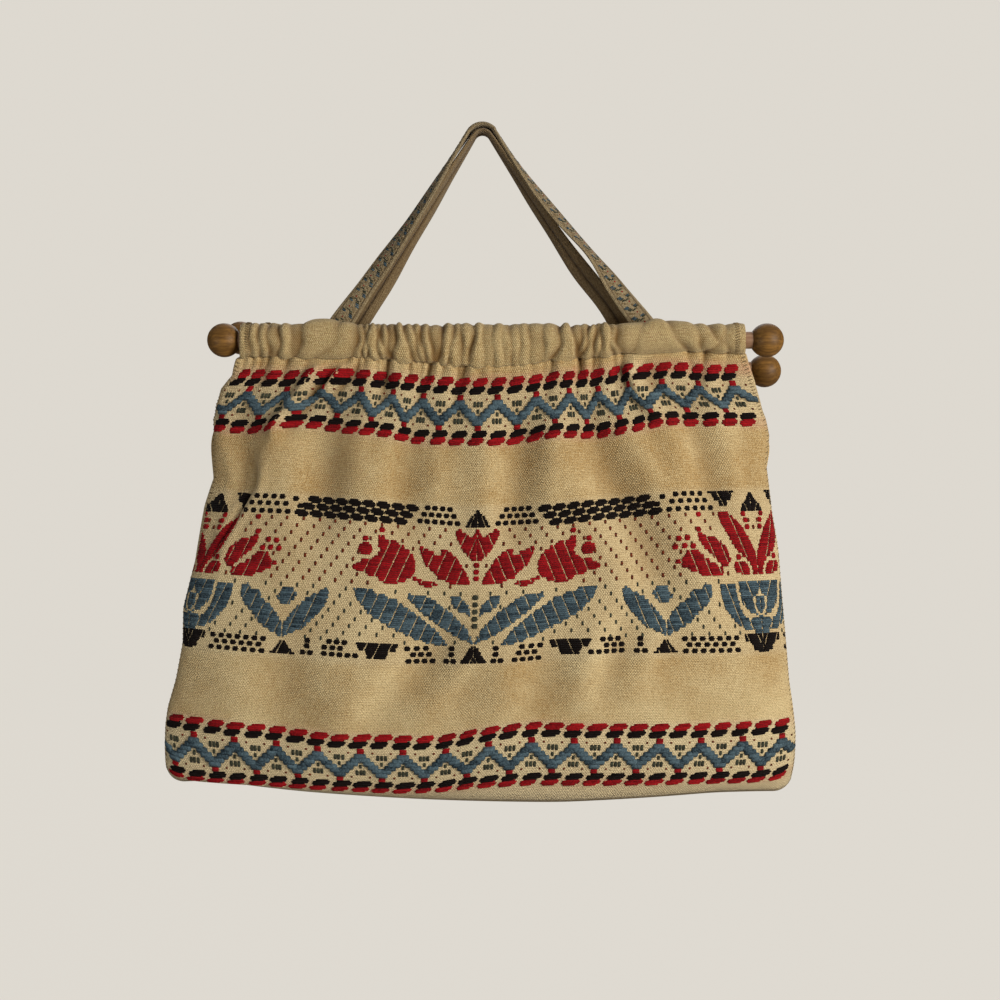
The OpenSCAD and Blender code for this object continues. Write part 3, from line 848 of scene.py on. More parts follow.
def makePanel(side):
    name = sideNames[side] + "PanelCloth"
    obj, row, col, rows, cols = clothGrid(name, panelShape["across"], panelShape["down"])
    t = np.arange(rows + 1) / rows
    flatDown = bag["flatLength"] * (panelShape["even"] * t + panelShape["closer"] * t ** 2)
    flip = -side  # the back's columns run the other way, so that its faces point out
    flatAcross = flip * bag["flatWidth"] * (np.arange(cols + 1) / cols - 0.5)
    hung = [panelRow(side, flatAcross, down) for down in flatDown]
    points, fade = np.array([h[0] for h in hung]), np.array([h[1] for h in hung])
    across, down = np.meshgrid(flatAcross, flatDown)
    height, lean = foldField(side, across, down)
    points = points + outwardOf(points) * (height * fade)[..., None]
    points[..., 0] += lean * fade
    for _ in range(panelShape["easeRounds"]):  # ease the sharpest creases
        inner = points[1:-1, 1:-1]
        inner += panelShape["eased"] * ((points[1:-1, 2:] + points[1:-1, :-2]) / 2 - inner)
    # painted shade: where the cloth lies below the smoothed level of its neighbours, in the valleys of folds
    # and creases, its colour is darkened
    level = height.copy()
    for _ in range(panelShape["shadeRounds"]):
        level[:, 1:-1] = (level[:, 2:] + level[:, :-2] + 2 * level[:, 1:-1]) / 4
    paintedShade = np.clip((level - height) * fade / panelShape["shadeDepth"], 0, 1) * panelShape["shadeMost"]
    writePoints(obj, points[row, col] * mm)
    flatUv(obj, across[row, col] * mm, -down[row, col] * mm)
    pointValue(obj, "paintedShade", paintedShade[row, col])
    thicken(obj, bag["cloth"] * mm)
    smoothShade(obj)
    setMaterial(obj, panelCloth)
    surfaces[side] = {"points": points, "outward": outwardOf(points), "flatDown": flatDown, "cols": cols}
    return obj


panels = {side: makePanel(side) for side in (front, back)}
print("panels hung")


# Woven bands: floats of coloured yarn laid over the cloth

def onCloth(side, across, down):
    cloth = surfaces[side]
    points, outward, flatDown, cols = cloth["points"], cloth["outward"], cloth["flatDown"], cloth["cols"]
    c = np.clip((across / bag["flatWidth"] + 0.5) * cols, 0, cols - 1e-6)
    r = np.clip(np.interp(down, flatDown, np.arange(len(flatDown))), 0, len(flatDown) - 1 - 1e-6)
    i, j = c.astype(int), r.astype(int)
    a, b = (c - i)[:, None], (r - j)[:, None]

    def blend(grid):
        return ((grid[j, i] * (1 - a) + grid[j, i + 1] * a) * (1 - b)
                + (grid[j + 1, i] * (1 - a) + grid[j + 1, i + 1] * a) * b)
    return blend(points), blend(outward)


floatShape = {"shortCuts": (-0.38, 0.38), "longCuts": (-0.42, -0.14, 0.14, 0.42), "longFrom": 7.0,
              "endsFrom": 0.45, "narrow": 0.62, "flatten": 0.5, "dip": 0.18}


def makeFloatShape(cuts):
    # one float: a bar with round shoulders that dips into the cloth at both ends
    deselectAll()
    bpy.ops.mesh.primitive_cylinder_add(vertices=4, radius=0.5, depth=1, rotation=(0, math.pi / 2, 0))
    bar = bpy.context.object
    bpy.ops.object.transform_apply(location=True, rotation=True, scale=True)
    bpy.ops.object.mode_set(mode="EDIT")
    for cut in cuts:
        bpy.ops.mesh.select_all(action="SELECT")
        bpy.ops.mesh.bisect(plane_co=(cut, 0, 0), plane_no=(1, 0, 0))
    bpy.ops.object.mode_set(mode="OBJECT")
    co = readPoints(bar)
    ends = np.abs(co[:, 0]) > floatShape["endsFrom"]
    co[ends, 1] *= floatShape["narrow"]
    co[ends, 2] = co[ends, 2] * floatShape["flatten"] - floatShape["dip"]
    faces = [list(p.vertices) for p in bar.data.polygons]
    bpy.data.objects.remove(bar)
    return co, faces


shortFloat = makeFloatShape(floatShape["shortCuts"])
longFloat = makeFloatShape(floatShape["longCuts"])  # bends with the cloth


def meshFrom(name, points, faces, tone, material):
    mesh = bpy.data.meshes.new(name)
    mesh.from_pydata(points, [], faces)
    mesh.update()
    obj = bpy.data.objects.new(name, mesh)
    bpy.context.scene.collection.objects.link(obj)
    pointValue(obj, "tone", tone)
    smoothShade(obj)
    setMaterial(obj, material)
    return obj


laying = {"jog": 0.12, "lift": 0.24, "pressReach": 8, "pressed": 0.3}


def layFloats(name, side, floats, material, seed):
    # floats: across from, across to, down, width, height, slant
    rng = np.random.default_rng(seed)
    data = np.array(floats, float)
    isLong = data[:, 1] - data[:, 0] > floatShape["longFrom"]
    places, faces, tones, base = [], [], [], 0
    for group, (co, shape) in ((data[~isLong], shortFloat), (data[isLong], longFloat)):
        a0, a1, down, wide, tall, slant = (group[:, k:k + 1] for k in range(6))
        x, y, z = (co[:, k][None] for k in range(3))
        jog = rng.normal(0, laying["jog"], (len(group), 1))
        across = (a0 + a1) / 2 + jog + x * (a1 - a0)
        rows = down + y * wide + slant * x * (a1 - a0)
        place, outward = onCloth(side, across.ravel(), rows.ravel())
        toEdge = (bag["flatWidth"] / 2 - np.abs(across)) / laying["pressReach"]
        low = np.clip(toEdge, laying["pressed"], 1)  # the side seams press them down
        places.append(place + outward * ((z + laying["lift"]) * tall * low).ravel()[:, None])
        faces += [[v + base + k * len(co) for v in f] for k in range(len(group)) for f in shape]
        tones.append(np.repeat(rng.uniform(0, 1, len(group)), len(co)))
        base += len(group) * len(co)
    return meshFrom(name, np.concatenate(places) * mm, faces, np.concatenate(tones), material)


weaveRow = 1.25
# width and height of the yarn in each kind of float
floatSizes = {"form": (1.5, 0.85), "dot": (1.35, 0.9), "brick": (1.45, 0.95), "ground": (2.6, 0.6),
              "dash": (1.8, 1.15), "knot": (1.7, 0.95), "rope": (4.4, 2.6), "kernel": (3.7, 0.85),
              "tip": (2.8, 0.8), "speck": (1.4, 0.6)}
middleBand = {"start": 96.0, "axis": -6.9, "half": 203.0, "edge": 217.5, "least": 0.8,
              "tie": 8.4, "noTie": 20, "seed": 5}


def dots(start, count, down, pitch):
    return [(start + k * pitch, down) for k in range(count)]


# half of the middle band, across from its axis and down from its upper edge
blackForms = [
    [(0, 1), (1, 1.7), (2, 4.6), (4.9, 6.1), (7.1, 10.2), (9.5, 13.2), (0, 13)],
    [(168.8, 0.6), (189.5, 0.7), (186.3, 4.2), (186.9, 6.9), (183.7, 7.8), (183.3, 11.1), (177.8, 11.1),
     (177.6, 8), (174.1, 7.3), (174, 4)],
    [(203, 1.5), (200.5, 3.5), (198.8, 7), (196, 9), (193.5, 13.5), (203, 13.8)],
    [(0, 87.3), (2.8, 89.3), (5.6, 93.9), (9.2, 99.2), (0, 99.4)],
    [(51.3, 87.3), (80.8, 87.3), (78.7, 90.7), (73.9, 92.5), (71.9, 96.7), (60.3, 97), (58.2, 92.5),
     (53.4, 90.9)],
    [(132.8, 87.8), (135.5, 91.1), (137.8, 95.1), (142.3, 98.5), (123.1, 98.2), (127, 94.8), (129.9, 90.9)],
    [(188.6, 87.3), (203, 87.7), (203, 98.9), (195.4, 98), (194.6, 93.8), (189.8, 91.6)],
]
blackDots = (dots(20.6, 4, 2.1, 5.45) + dots(17.5, 5, 6.5, 5.45) + dots(14.7, 6, 11, 5.45)
             + [(134, 3), (130, 7.5)]
             + dots(143.6, 4, 2, 6.5) + dots(140.5, 5, 6.5, 6.5) + dots(138.2, 6, 11.6, 6.5)
             + [(15.1, 89.9), (15.2, 93.8), (13.7, 98.1), (18.7, 98.1)] + dots(33.1, 3, 89.8, 6.3)
             + dots(30.9, 3, 93.8, 5.45) + dots(28.2, 4, 98.2, 5.45) + [(80.2, 95.5)]
             + dots(88.4, 3, 87.6, 5.5) + dots(91.1, 3, 91.5, 5.5) + dots(85.6, 4, 95.6, 5.5)
             + [(114.9, 88.2), (114.9, 91.7), (112.2, 95.9), (117.6, 96)]
             + dots(146, 7, 89.1, 6.1) + dots(149, 6, 93, 6.1) + dots(146.5, 7, 97.2, 6.1))
blackBricks = [(48.3 + 10.35 * k + 3.9 * r, 2.8 + 4.6 * r) for r in range(3) for k in range(8)]
redForms = [
    [(0, 13.5), (1.2, 14.3), (3.1, 19.2), (7.8, 18), (12.7, 14.8), (16.6, 16.3), (14.3, 21), (10.3, 27.8),
     (4.8, 33.1), (0, 34.8)],
    [(0.5, 49.7), (3.3, 49.4), (7.9, 40.9), (13.3, 33.7), (21.7, 27.9), (25.6, 28.2), (25.7, 32.3),
     (28.8, 32.4), (32.3, 28.7), (40.8, 27.5), (40.8, 30.6), (36, 38.7), (29.1, 43.5), (27, 46.5),
     (16.6, 49)],
    [(25.7, 49.5), (33.4, 47.6), (41.1, 49.6), (33.4, 52.2)],
    [(37.6, 47.6), (44.5, 45.6), (45.4, 47.4), (39, 49.3)],
    [(43.8, 44.7), (43, 37.1), (46.5, 31.5), (54.3, 26.7), (59.3, 24.6), (62.9, 25.6), (65.8, 23),
     (70.8, 22), (70.7, 28.3), (68.8, 31.3), (70.6, 34), (74.2, 36.2), (81.2, 37.4), (85, 40.7), (85, 43.2),
     (78.3, 45.2), (74, 46.7), (69.1, 47.6), (64.2, 51.1), (58.6, 51.2), (51.6, 49.4)],
    [(157.4, 27.1), (165, 28.5), (173.6, 31.1), (179.7, 36.4), (182.2, 43), (179.2, 47.4), (175.6, 47),
     (171.2, 43.4), (165.2, 38.2), (160.4, 34.8), (158.4, 31.5)],
    [(141.1, 43.4), (147.7, 40.3), (149.7, 36.8), (154.8, 37.7), (156.8, 36.8), (160.9, 40.3), (165, 43),
     (169, 44.7), (175.1, 47.8), (176.1, 50.5), (169, 52.2), (162.9, 52.7), (155.8, 50), (148.7, 47.4)],
    [(175.5, 14.4), (182.4, 14.6), (186.5, 17.6), (190.4, 21), (194, 24.9), (197, 28.9), (199.8, 33.3),
     (202.2, 38.6), (203, 43), (203, 51.8), (199.2, 51.8), (197.8, 46.5), (194, 42.4), (188.5, 39),
     (184, 33.6), (180.8, 28), (177.6, 22.7), (176, 17.9)],
    [(183.7, 46.5), (185.8, 44.3), (191.4, 43.9), (194.9, 45.6), (196.9, 49.1), (196.9, 51.8),
     (185.3, 50.9)],
]
redDots = [(0, 37.2), (0, 41.4), (0, 45.6), (68.6, 18.6), (79.6, 24.7), (85.4, 42), (143.9, 29.8),
           (149.9, 29.6), (141.4, 34.6), (147.7, 34.2), (153.8, 34.6), (158.6, 24.9), (159.7, 15.7),
           (195.1, 16), (196.6, 19.9), (197.6, 24.1), (188.3, 41.7)]
blueForms = [
    [(2.7, 68.9), (4.5, 62.7), (10.6, 57.4), (17.5, 55.9), (17, 61.5), (11.6, 66.2)],
    [(0.4, 86.7), (5.1, 77.2), (15.8, 67.7), (30.8, 58.5), (47.4, 55.5), (47.7, 58.3), (37.9, 67),
     (24.3, 75.8), (12.1, 82.7)],
    [(18.4, 88.1), (24.4, 80.2), (37.9, 70.2), (55.8, 59.8), (74, 54.8), (85.2, 55.1), (83, 60.2),
     (73.9, 69.1), (58.7, 76.5), (40.9, 83.7), (27.3, 88)],
    [(101.5, 56.3), (106.1, 56.2), (111.2, 59.4), (117.8, 61.9), (123.4, 67.2), (128.4, 72.4), (133, 78.5),
     (133.4, 86.8), (128.4, 84.8), (119.3, 81), (114.2, 76.5), (108.1, 70.4), (104.1, 65.2)],
    [(133.6, 86.8), (134.2, 78.5), (137.6, 72.9), (143.7, 67.5), (150.8, 63.8), (150.8, 60.9),
     (158.9, 58.5), (161.4, 56.2), (166, 57.2), (166, 62.2), (162.9, 67.8), (154.8, 73.9), (150.8, 78.7),
     (143.7, 82.4), (137.6, 85.4)],
    [(124.9, 61), (127.9, 57.9), (131, 56.8), (135.5, 57.5), (137.1, 60.5), (140.1, 62.4), (137.1, 65),
     (135, 67), (131.5, 67.7), (127.9, 64.9)],
    [(172.1, 58), (176.1, 56.3), (184.3, 56.3), (184.8, 62.1), (186.8, 69.6), (189.3, 74.9), (193.9, 78.2),
     (194.4, 81.1), (196.4, 85.3), (191.4, 84.4), (186.3, 82), (180.2, 77), (175.1, 70.4), (172.6, 63.8)],
    [(186.8, 55.5), (203, 55.1), (203, 59.6), (201.5, 62.9), (198.5, 63.8), (197.4, 67.1), (199, 72.9),
     (200.5, 75.8), (196.4, 74.5), (192.4, 72), (189.3, 68.7), (187.3, 62.9)],
    [(199.7, 64.6), (203, 64.2), (203, 74.1), (201, 73.3), (199.5, 69.6)],
    [(194.9, 78.2), (199.5, 76.2), (203, 75.5), (203, 87.3), (198.5, 86.5), (196.4, 84.9), (195.2, 81.1)],
]
stemDots = [(0, 57.5 + 4.5 * k) for k in range(5)]
roundRed = [(79, 31, 5.3, 4.0)]  # middle, half width and half height


def crossings(form, down):
    hits = []
    for (x0, y0), (x1, y1) in zip(form, form[1:] + form[:1]):
        if (y0 <= down) != (y1 <= down):
            hits.append(x0 + (down - y0) / (y1 - y0) * (x1 - x0))
    hits.sort()
    return list(zip(hits[::2], hits[1::2]))


def ring(x, y, rx, ry, count=18):
    turns = [2 * math.pi * k / count for k in range(count)]
    return [(x + rx * math.cos(turn), y + ry * math.sin(turn)) for turn in turns]


# how a form is filled: rows that pair up, ragged ends, and the gap and slant of the tie threads
filling = {"pairing": 0.6, "pairFrom": 8, "ragged": 0.4, "least": 0.9,
           "slant": 0.45, "clear": 1.2, "gap": 0.27}


def fillForm(form, tie, rng):
    # rows of floats inside a form, broken where the slanting tie threads cross it
    floats = []
    low, high = min(p[1] for p in form), max(p[1] for p in form)
    ragged, gap, clear = filling["ragged"], filling["gap"], filling["clear"]
    pairing = filling["pairing"] if high - low > filling["pairFrom"] else 0
    for index in range(math.ceil(low / weaveRow), math.ceil(high / weaveRow)):
        row = index * weaveRow + 0.01
        level = row + pairing * (0.5 - index % 2) * weaveRow  # two rows nearly share their ends
        slip = filling["slant"] * row
        for a, b in crossings(form, min(max(level, low + 0.05), high - 0.05)):
            a, b = a + rng.uniform(-ragged, ragged), b + rng.uniform(-ragged, ragged)
            if b - a < filling["least"]:
                continue
            stops = [a]
            stop = math.ceil((a + clear - slip) / tie) * tie + slip
            while stop < b - clear:
                stops.append(stop)
                stop += tie
            stops.append(b)
            floats += [(p + gap * (p != a), q - gap * (q != b), row) for p, q in zip(stops, stops[1:])]
    return floats


def insideAny(forms, x, y, clear=1.6):
    return any(a - clear < x < b + clear
               for f in forms for s in (-1.5, 0, 1.5) for a, b in crossings(f, y + s))


dotShape = {"middle": 2.2, "outer": 1.7, "pitch": 0.95}
brickShape = {"middle": 4.9, "outer": 3.3, "pitch": 1.1, "lean": 0.5}
# small spots between the forms, in slanting rows: rust among the red forms, dark among the blue ones
ground = {"first": 15.6, "pitch": 4.4, "rows": 17, "step": 11.5, "slip": 3.7, "from": 4, "changeAt": 54,
          "size": {"rust": 0.9, "dark": 0.75}}


def halfBand():
    rng = np.random.default_rng(middleBand["seed"])
    half = {"red": [], "black": [], "blue": [], "rust": [], "dark": []}
    coloured = (("black", blackForms), ("red", redForms), ("blue", blueForms))
    jobs = [(colour, form, middleBand["tie"]) for colour, forms in coloured for form in forms]
    jobs += [("red", ring(*ball), middleBand["noTie"]) for ball in roundRed]
    for colour, form, tie in jobs:
        half[colour] += [(*span, *floatSizes["form"]) for span in fillForm(form, tie, rng)]
    for colour, spots in (("black", blackDots), ("red", redDots), ("dark", stemDots)):
        for x, y in spots:
            for k in (-1, 0, 1):
                w = dotShape["middle"] if k == 0 else dotShape["outer"]
                half[colour].append((x - w, x + w, y + dotShape["pitch"] * k, *floatSizes["dot"]))
    for x, y in blackBricks:
        for k in range(-1, 3):
            w = brickShape["middle"] if k in (0, 1) else brickShape["outer"]
            lean, row = brickShape["lean"] * (0.5 - k), y + brickShape["pitch"] * (k - 0.5)
            half["black"].append((x - w + lean, x + w + lean, row, *floatSizes["brick"]))
    for j in range(ground["rows"]):
        y = ground["first"] + ground["pitch"] * j
        colour = "rust" if y < ground["changeAt"] else "dark"
        forms = (redForms if colour == "rust" else blueForms) + blackForms
        size = ground["size"][colour]
        x = (ground["slip"] * j) % ground["step"] - ground["step"]
        while x < middleBand["half"]:
            if x > ground["from"] and not insideAny(forms, x, y):
                half[colour].append((x - size, x + size, y, *floatSizes["ground"]))
            x += ground["step"]
    return half


def mirrorBand(half):
    # the half band on both sides of its axis, and mirrored again past its outer ends
    out = {colour: [] for colour in half}
    axis, wide, edge = middleBand["axis"], middleBand["half"], middleBand["edge"]
    for colour, floats in half.items():
        for a, b, down, w, t in floats:
            if b < 6 and a > -3 and b - a > 4:  # a float over the axis is cut there, and its two halves meet
                a = max(a, -0.01)
            b = min(b, wide + 2)
            for past in (False, True):
                m0, m1 = (2 * wide - b, 2 * wide - a) if past else (a, b)
                for flip in (1, -1):
                    if not past and flip == -1 and abs(m0 + m1) < 0.2:
                        continue  # it is its own mirror image
                    p, q = sorted((flip * m0, flip * m1))
                    p, q = max(p + axis, -edge), min(q + axis, edge)
                    if q - p > middleBand["least"]:
                        out[colour].append((p, q, down + middleBand["start"], w, t, 0.0))
    return out


zigzag = {
    "period": 28.6, "peak": 5.5, "repeats": 9, "starts": (15.5, 246.0), "edge": 218.5,
    "seed": 17, "hand": 0.05,
    # colour, row below the start, shift across
    "dashes": [("red", 0, 0.6), ("black", 4.5, -1.6), ("black", 33.2, 1.0), ("red", 37.5, -1.0)],
    "dash": 12.0, "dashRows": 4, "dashPitch": 1.28, "dashEnd": 0.72, "dashLean": 0.75, "dashSlant": -0.06,
    "dashJog": 0.35, "knotRows": (9.4, 28.6), "knot": 2.4,
    "rope": 8.0, "ropeBlocks": 10, "ropeTop": 12.9, "ropeDrop": 12.4, "ropeSlope": 0.1,
    # three kernels with a tip in each triangle, and a speck on either side
    "kernelRows": (24.4, 13.6), "kernelPitch": 2.5, "kernel": 1.05, "tip": 1.0, "tipOff": 4.4,
    "speck": 0.7, "speckPitch": 6.2, "speckOff": 3.2,
}


def yarnBar(x, half, row, kind, slant=0.0):
    return (x - half, x + half, row, *floatSizes[kind], slant)


def addZigzags(out):
    rng = np.random.default_rng(zigzag["seed"])
    repeats, blocks = zigzag["repeats"], zigzag["ropeBlocks"]
    for start, k in [(start, k) for start in zigzag["starts"] for k in range(-repeats, repeats + 1)]:
        top = zigzag["peak"] + zigzag["period"] * k
        valley = top + zigzag["period"] / 2
        for x, (colour, row, shift) in [(x, dash) for x in (top, valley) for dash in zigzag["dashes"]]:
            size, jog = rng.normal(1, zigzag["hand"]), rng.normal(0, zigzag["dashJog"])
            for r in range(zigzag["dashRows"]):
                w = size * zigzag["dash"] / 2 * (1.0 if r in (1, 2) else zigzag["dashEnd"])
                mid = x + shift + jog - zigzag["dashLean"] * (r - 1.5)
                down = start + row + zigzag["dashPitch"] * (r - 1.5)
                out[colour].append(yarnBar(mid, w, down, "dash", zigzag["dashSlant"]))
        for x, row in zip((top, valley), zigzag["knotRows"]):
            out["red"] += [yarnBar(x, zigzag["knot"], start + row + weaveRow * r, "knot") for r in (-1, 0, 1)]
        for block in range(blocks):  # a rope of short blocks: peak, four down, valley, four up
            share = 1 - abs(block - blocks // 2) / (blocks // 2)
            w = zigzag["rope"] / 2 * rng.normal(1, zigzag["hand"])
            way = 0 if block in (0, blocks // 2) else 1 if block < blocks // 2 else -1
            x = top + zigzag["period"] * block / blocks
            down = start + zigzag["ropeTop"] + zigzag["ropeDrop"] * share
            out["blue"].append(yarnBar(x, w, down, "rope", way * zigzag["ropeSlope"]))
        for x, row, way in ((valley, zigzag["kernelRows"][1], 1), (top, zigzag["kernelRows"][0], -1)):
            for m in (-1, 0, 1):
                at = x + m * zigzag["kernelPitch"]
                out["dark"].append(yarnBar(at, zigzag["kernel"], start + row, "kernel"))
            out["dark"].append(yarnBar(x, zigzag["tip"], start + row + way * zigzag["tipOff"], "tip"))
            for m in (-1, 1):
                down = start + row - way * zigzag["speckOff"]
                out["rust"].append(yarnBar(x + m * zigzag["speckPitch"], zigzag["speck"], down, "speck"))


def bandFloats():
    out = mirrorBand(halfBand())
    addZigzags(out)
    edge = zigzag["edge"]
    return {c: [f for f in floats if f[0] > -edge and f[1] < edge] for c, floats in out.items()}


floatsByColour = bandFloats()
trims = {front: [], back: []}
for side, word in sideNames.items():
    for k, (colour, floats) in enumerate(floatsByColour.items()):
        piece = layFloats(f"{word}Floats_{colour}", side, floats, yarns[colour], 100 + k)
        trims[side].append(piece)
print("bands woven:", {c: len(f) for c, f in floatsByColour.items()})


# Casings: the gathered sleeves on the rods

casing = {
    "across": 380, "around": 40, "thick": 1.3, "bulge": 1.2, "ripple": 0.3, "innerBulge": 0.5,
    # profile from the outer seam up over the rod and down inside, about the rod axis
    "profile": [(-7.0, -15.6), (-7.8, -13.6), (-8.7, -10.8), (-9.3, -7.4), (-9.6, -3.5), (-9.5, 1.0),
                (-8.4, 5.2), (-5.6, 8.4), (0, 9.8), (4.8, 8.7), (7.6, 5.4), (8.6, 0.5), (7.8, -5.0),
                (4.6, -10.0), (0.0, -13.6), (-3.6, -15.4)],
    # how deep a crease is on its way round, as a share of its depth
    "deepAt": [(0, 0.8), (0.06, 1), (0.35, 0.95), (0.55, 0.55), (1, 0.5)],
    "gain": 1.2, "unevenDepth": 0.3, "wander": 1.1, "sunkMost": 3.3, "rollMost": 0.8,
    "seamEase": 0.06, "endReach": 5, "endDrop": 0.7, "tent": 2.8, "tentReach": 15, "tentTop": 9,
    # how far the puffed cloth hangs over the stitch line, along the casing
    "droop": [(-163, 0.4), (-140, 1.6), (-118, 0.5), (-100, 1.8), (-84, 1.2), (-66, 2.2), (-48, 1.0),
              (-30, 1.8), (-8, 0.2), (30, 0.2), (58, 1.4), (80, 0.4), (104, 0.1), (126, 0.6), (140, 1.2),
              (163, 0.6)],
    "droopAt": 0.085, "droopWidth": 0.05, "droopFull": 1.6, "riseFrom": 15, "risePower": 1.5,
    # how deep a crease sinks before painted shade darkens it, and how much deeper until the shade is full
    "shadeFrom": 0.3, "shadeDepth": 2.2,
}


def strapFoot(side, end):
    # where a strap leaves the casing, along it from its middle
    return end * bag["strapReach"][side] - (bag["backShift"] if side == back else 0)


def casingSunk(side, along, around):
    sunk = np.zeros(along.shape)
    for top, face, foot, depth, half in creases[side]:
        middle = np.interp(around, [0, 0.2, 0.5, 1], [foot, face, top, 1.5 * top - 0.5 * face])
        held = np.sin(np.pi * np.clip(around * 2.2, 0, 1))
        middle = middle + casing["wander"] * np.sin(around * 15 + foot) * held
        uneven = 1 + casing["unevenDepth"] * np.sin(around * 17 + foot * 1.7)
        deep = depth * np.interp(around, *zip(*casing["deepAt"])) * uneven
        sunk += casing["gain"] * deep * creaseShape((along - middle) / half, top - foot)
    most, roll = casing["sunkMost"], casing["rollMost"]
    return np.where(sunk > 0, most * np.tanh(sunk / most), roll * np.tanh(sunk / roll))


def makeCasing(side):
    obj, row, col, rows, cols = clothGrid(sideNames[side] + "CasingCloth", casing["across"], casing["around"])
    profile = np.array(casing["profile"], float)
    run = np.concatenate([[0], np.cumsum(np.linalg.norm(np.diff(profile, axis=0), axis=1))])
    t = np.linspace(0, run[-1], rows + 1)[::-1]  # grid row 0 is its upper edge, the inner seam
    y, z = (smoothThrough(run, profile[:, k], t) for k in (0, 1))
    flip = -side
    s = flip * bag["casing"] * (np.arange(cols + 1) / cols - 0.5)
    along, around = np.meshgrid(s, t / run[-1])
    sunk = casingSunk(side, along, around)
    ripple = casing["ripple"] * np.sin(along / 7.3 + 9 * around) * np.sin(np.pi * around)
    height = casing["bulge"] - sunk + ripple
    inner = (around > 0.5) & (height > 0)
    height = np.where(inner, height * casing["innerBulge"], height)  # keeps off the straps
    dy, dz = np.gradient(y), np.gradient(z)
    size = np.hypot(dy, dz)
    ny, nz = dz / size, -dy / size  # outward, with the rows running from the inner seam
    height = height * np.clip(np.minimum(around, 1 - around) / casing["seamEase"], 0.5, 1)
    ends = np.clip((bag["casing"] / 2 - np.abs(along)) / casing["endReach"], 0, 1)
    height = height - casing["endDrop"] * (1 - ends) ** 2
    yy, zz = y[:, None] + ny[:, None] * height, z[:, None] + nz[:, None] * height
    for end in (-1, 1):  # each strap pulls the cloth up
        pull = np.exp(-((along - strapFoot(side, end)) / casing["tentReach"]) ** 2)
        zz = zz + casing["tent"] * pull * np.clip(zz / casing["tentTop"], 0, 1)
    full = np.clip(1 - sunk / casing["droopFull"], 0, 1)  # puffed between the creases
    droop = np.interp(along, *zip(*casing["droop"]))
    zz = zz - droop * full * np.exp(-((around - casing["droopAt"]) / casing["droopWidth"]) ** 2)
    zz = zz + seamRise(side, s)[None] * np.clip(-zz / casing["riseFrom"], 0, 1) ** casing["risePower"]
    tilt, middle = casingTilt(side), casingMiddle(side)
    x = middle[0] + along * math.cos(tilt) + zz * math.sin(tilt)
    zWorld = middle[2] - along * math.sin(tilt) + zz * math.cos(tilt)
    points = np.stack([x, middle[1] + flip * yy, zWorld], 2)
    # painted shade in the creases of the gathers
    paintedShade = np.clip((sunk - casing["shadeFrom"]) / casing["shadeDepth"], 0, 1)
    writePoints(obj, points[row, col] * mm)
    flatUv(obj, (along / squeeze)[row, col] * mm, (around * run[-1])[row, col] * mm)
    pointValue(obj, "paintedShade", paintedShade[row, col])
    thicken(obj, casing["thick"] * mm)
    smoothShade(obj)
    setMaterial(obj, casingCloth)
    return obj, run[-1], points


casings, casingPoints = {}, {}
for side in (front, back):
    casings[side], casingRound, casingPoints[side] = makeCasing(side)
print("casings gathered")


# Strap handles

strap = {"width": 14, "thick": 3, "tab": 10, "bend": 5, "gap": 0.3, "inset": 2.1, "innerY": 5.83,
         "free": 10.26, "legSteps": 44, "bendSteps": 16, "turn": {-1: 0.9, 1: 0.95},
         # along a leg: the front strap gapes at one place and lies close elsewhere, the back one leans to it
         "gape": {"at": 0.36, "reach": 0.15, "bow": 2.0, "flip": 0.34},
         "close": {"all": 1.6, "right": 1.6, "at": 0.8, "reach": 0.19},
         "lean": {"at": 0.16, "reach": 0.16, "by": 3.2}}


def bell(x, shape):
    return math.exp(-((x - shape["at"]) / shape["reach"]) ** 2)


def strapLine(side):
    # stations of the strap from its left sewn end, over the hang point, to the right one
    bendR = strap["bend"] + strap["thick"] / 2 + (strap["thick"] + 4 * strap["gap"] if side == front else 0)
    centre = np.array([0.0, -strap["bend"]])
    tilt, middle = casingTilt(side), casingMiddle(side)
    gape, close, lean = strap["gape"], strap["close"], strap["lean"]
    legs, angles = {}, {}
    for end in (-1, 1):
        right = end > 0
        s = strapFoot(side, end)
        foot = np.array([middle[0] + s * math.cos(tilt), middle[2] - s * math.sin(tilt)])
        d = centre - foot
        angle = math.atan2(d[1], d[0]) - end * math.asin(bendR / np.linalg.norm(d))
        outward = angle - end * math.pi / 2
        length = math.sqrt(d @ d - bendR ** 2)
        free = strap["free"] / math.sin(angle)
        line = []
        for q in [-strap["tab"], -strap["tab"] / 2, 0, *np.linspace(free, length, strap["legSteps"])]:
            f = max(0.0, (q - free) / (length - free))
            loose = bell(f, gape) if side == front and right else 0  # one leg gapes a little
            pressed = close["all"] * math.sin(math.pi * f) ** 2 + right * close["right"] * bell(f, close)
            leaning = lean["by"] * bell(f, lean) if right else 0
            bow = gape["bow"] * loose - pressed if side == front else leaning
            at = foot + q * np.array([math.cos(angle), math.sin(angle)])
            at = at + bow * np.array([math.cos(outward), math.sin(outward)])
            turn = math.pi / 2 * min(1.0, f ** strap["turn"][end] + gape["flip"] * loose)
            line.append((at[0], side * strap["innerY"] * (1 - f), at[1], outward, turn))
        legs[end], angles[end] = line, angle
    start, stop = angles[-1] + math.pi / 2, angles[1] - math.pi / 2
    over = []
    for k in range(1, strap["bendSteps"]):
        a = start + (stop - start) * k / strap["bendSteps"]
        over.append((centre[0] + bendR * math.cos(a), 0.0, centre[1] + bendR * math.sin(a), a, math.pi / 2))
    return np.array(legs[-1] + over + legs[1][::-1])


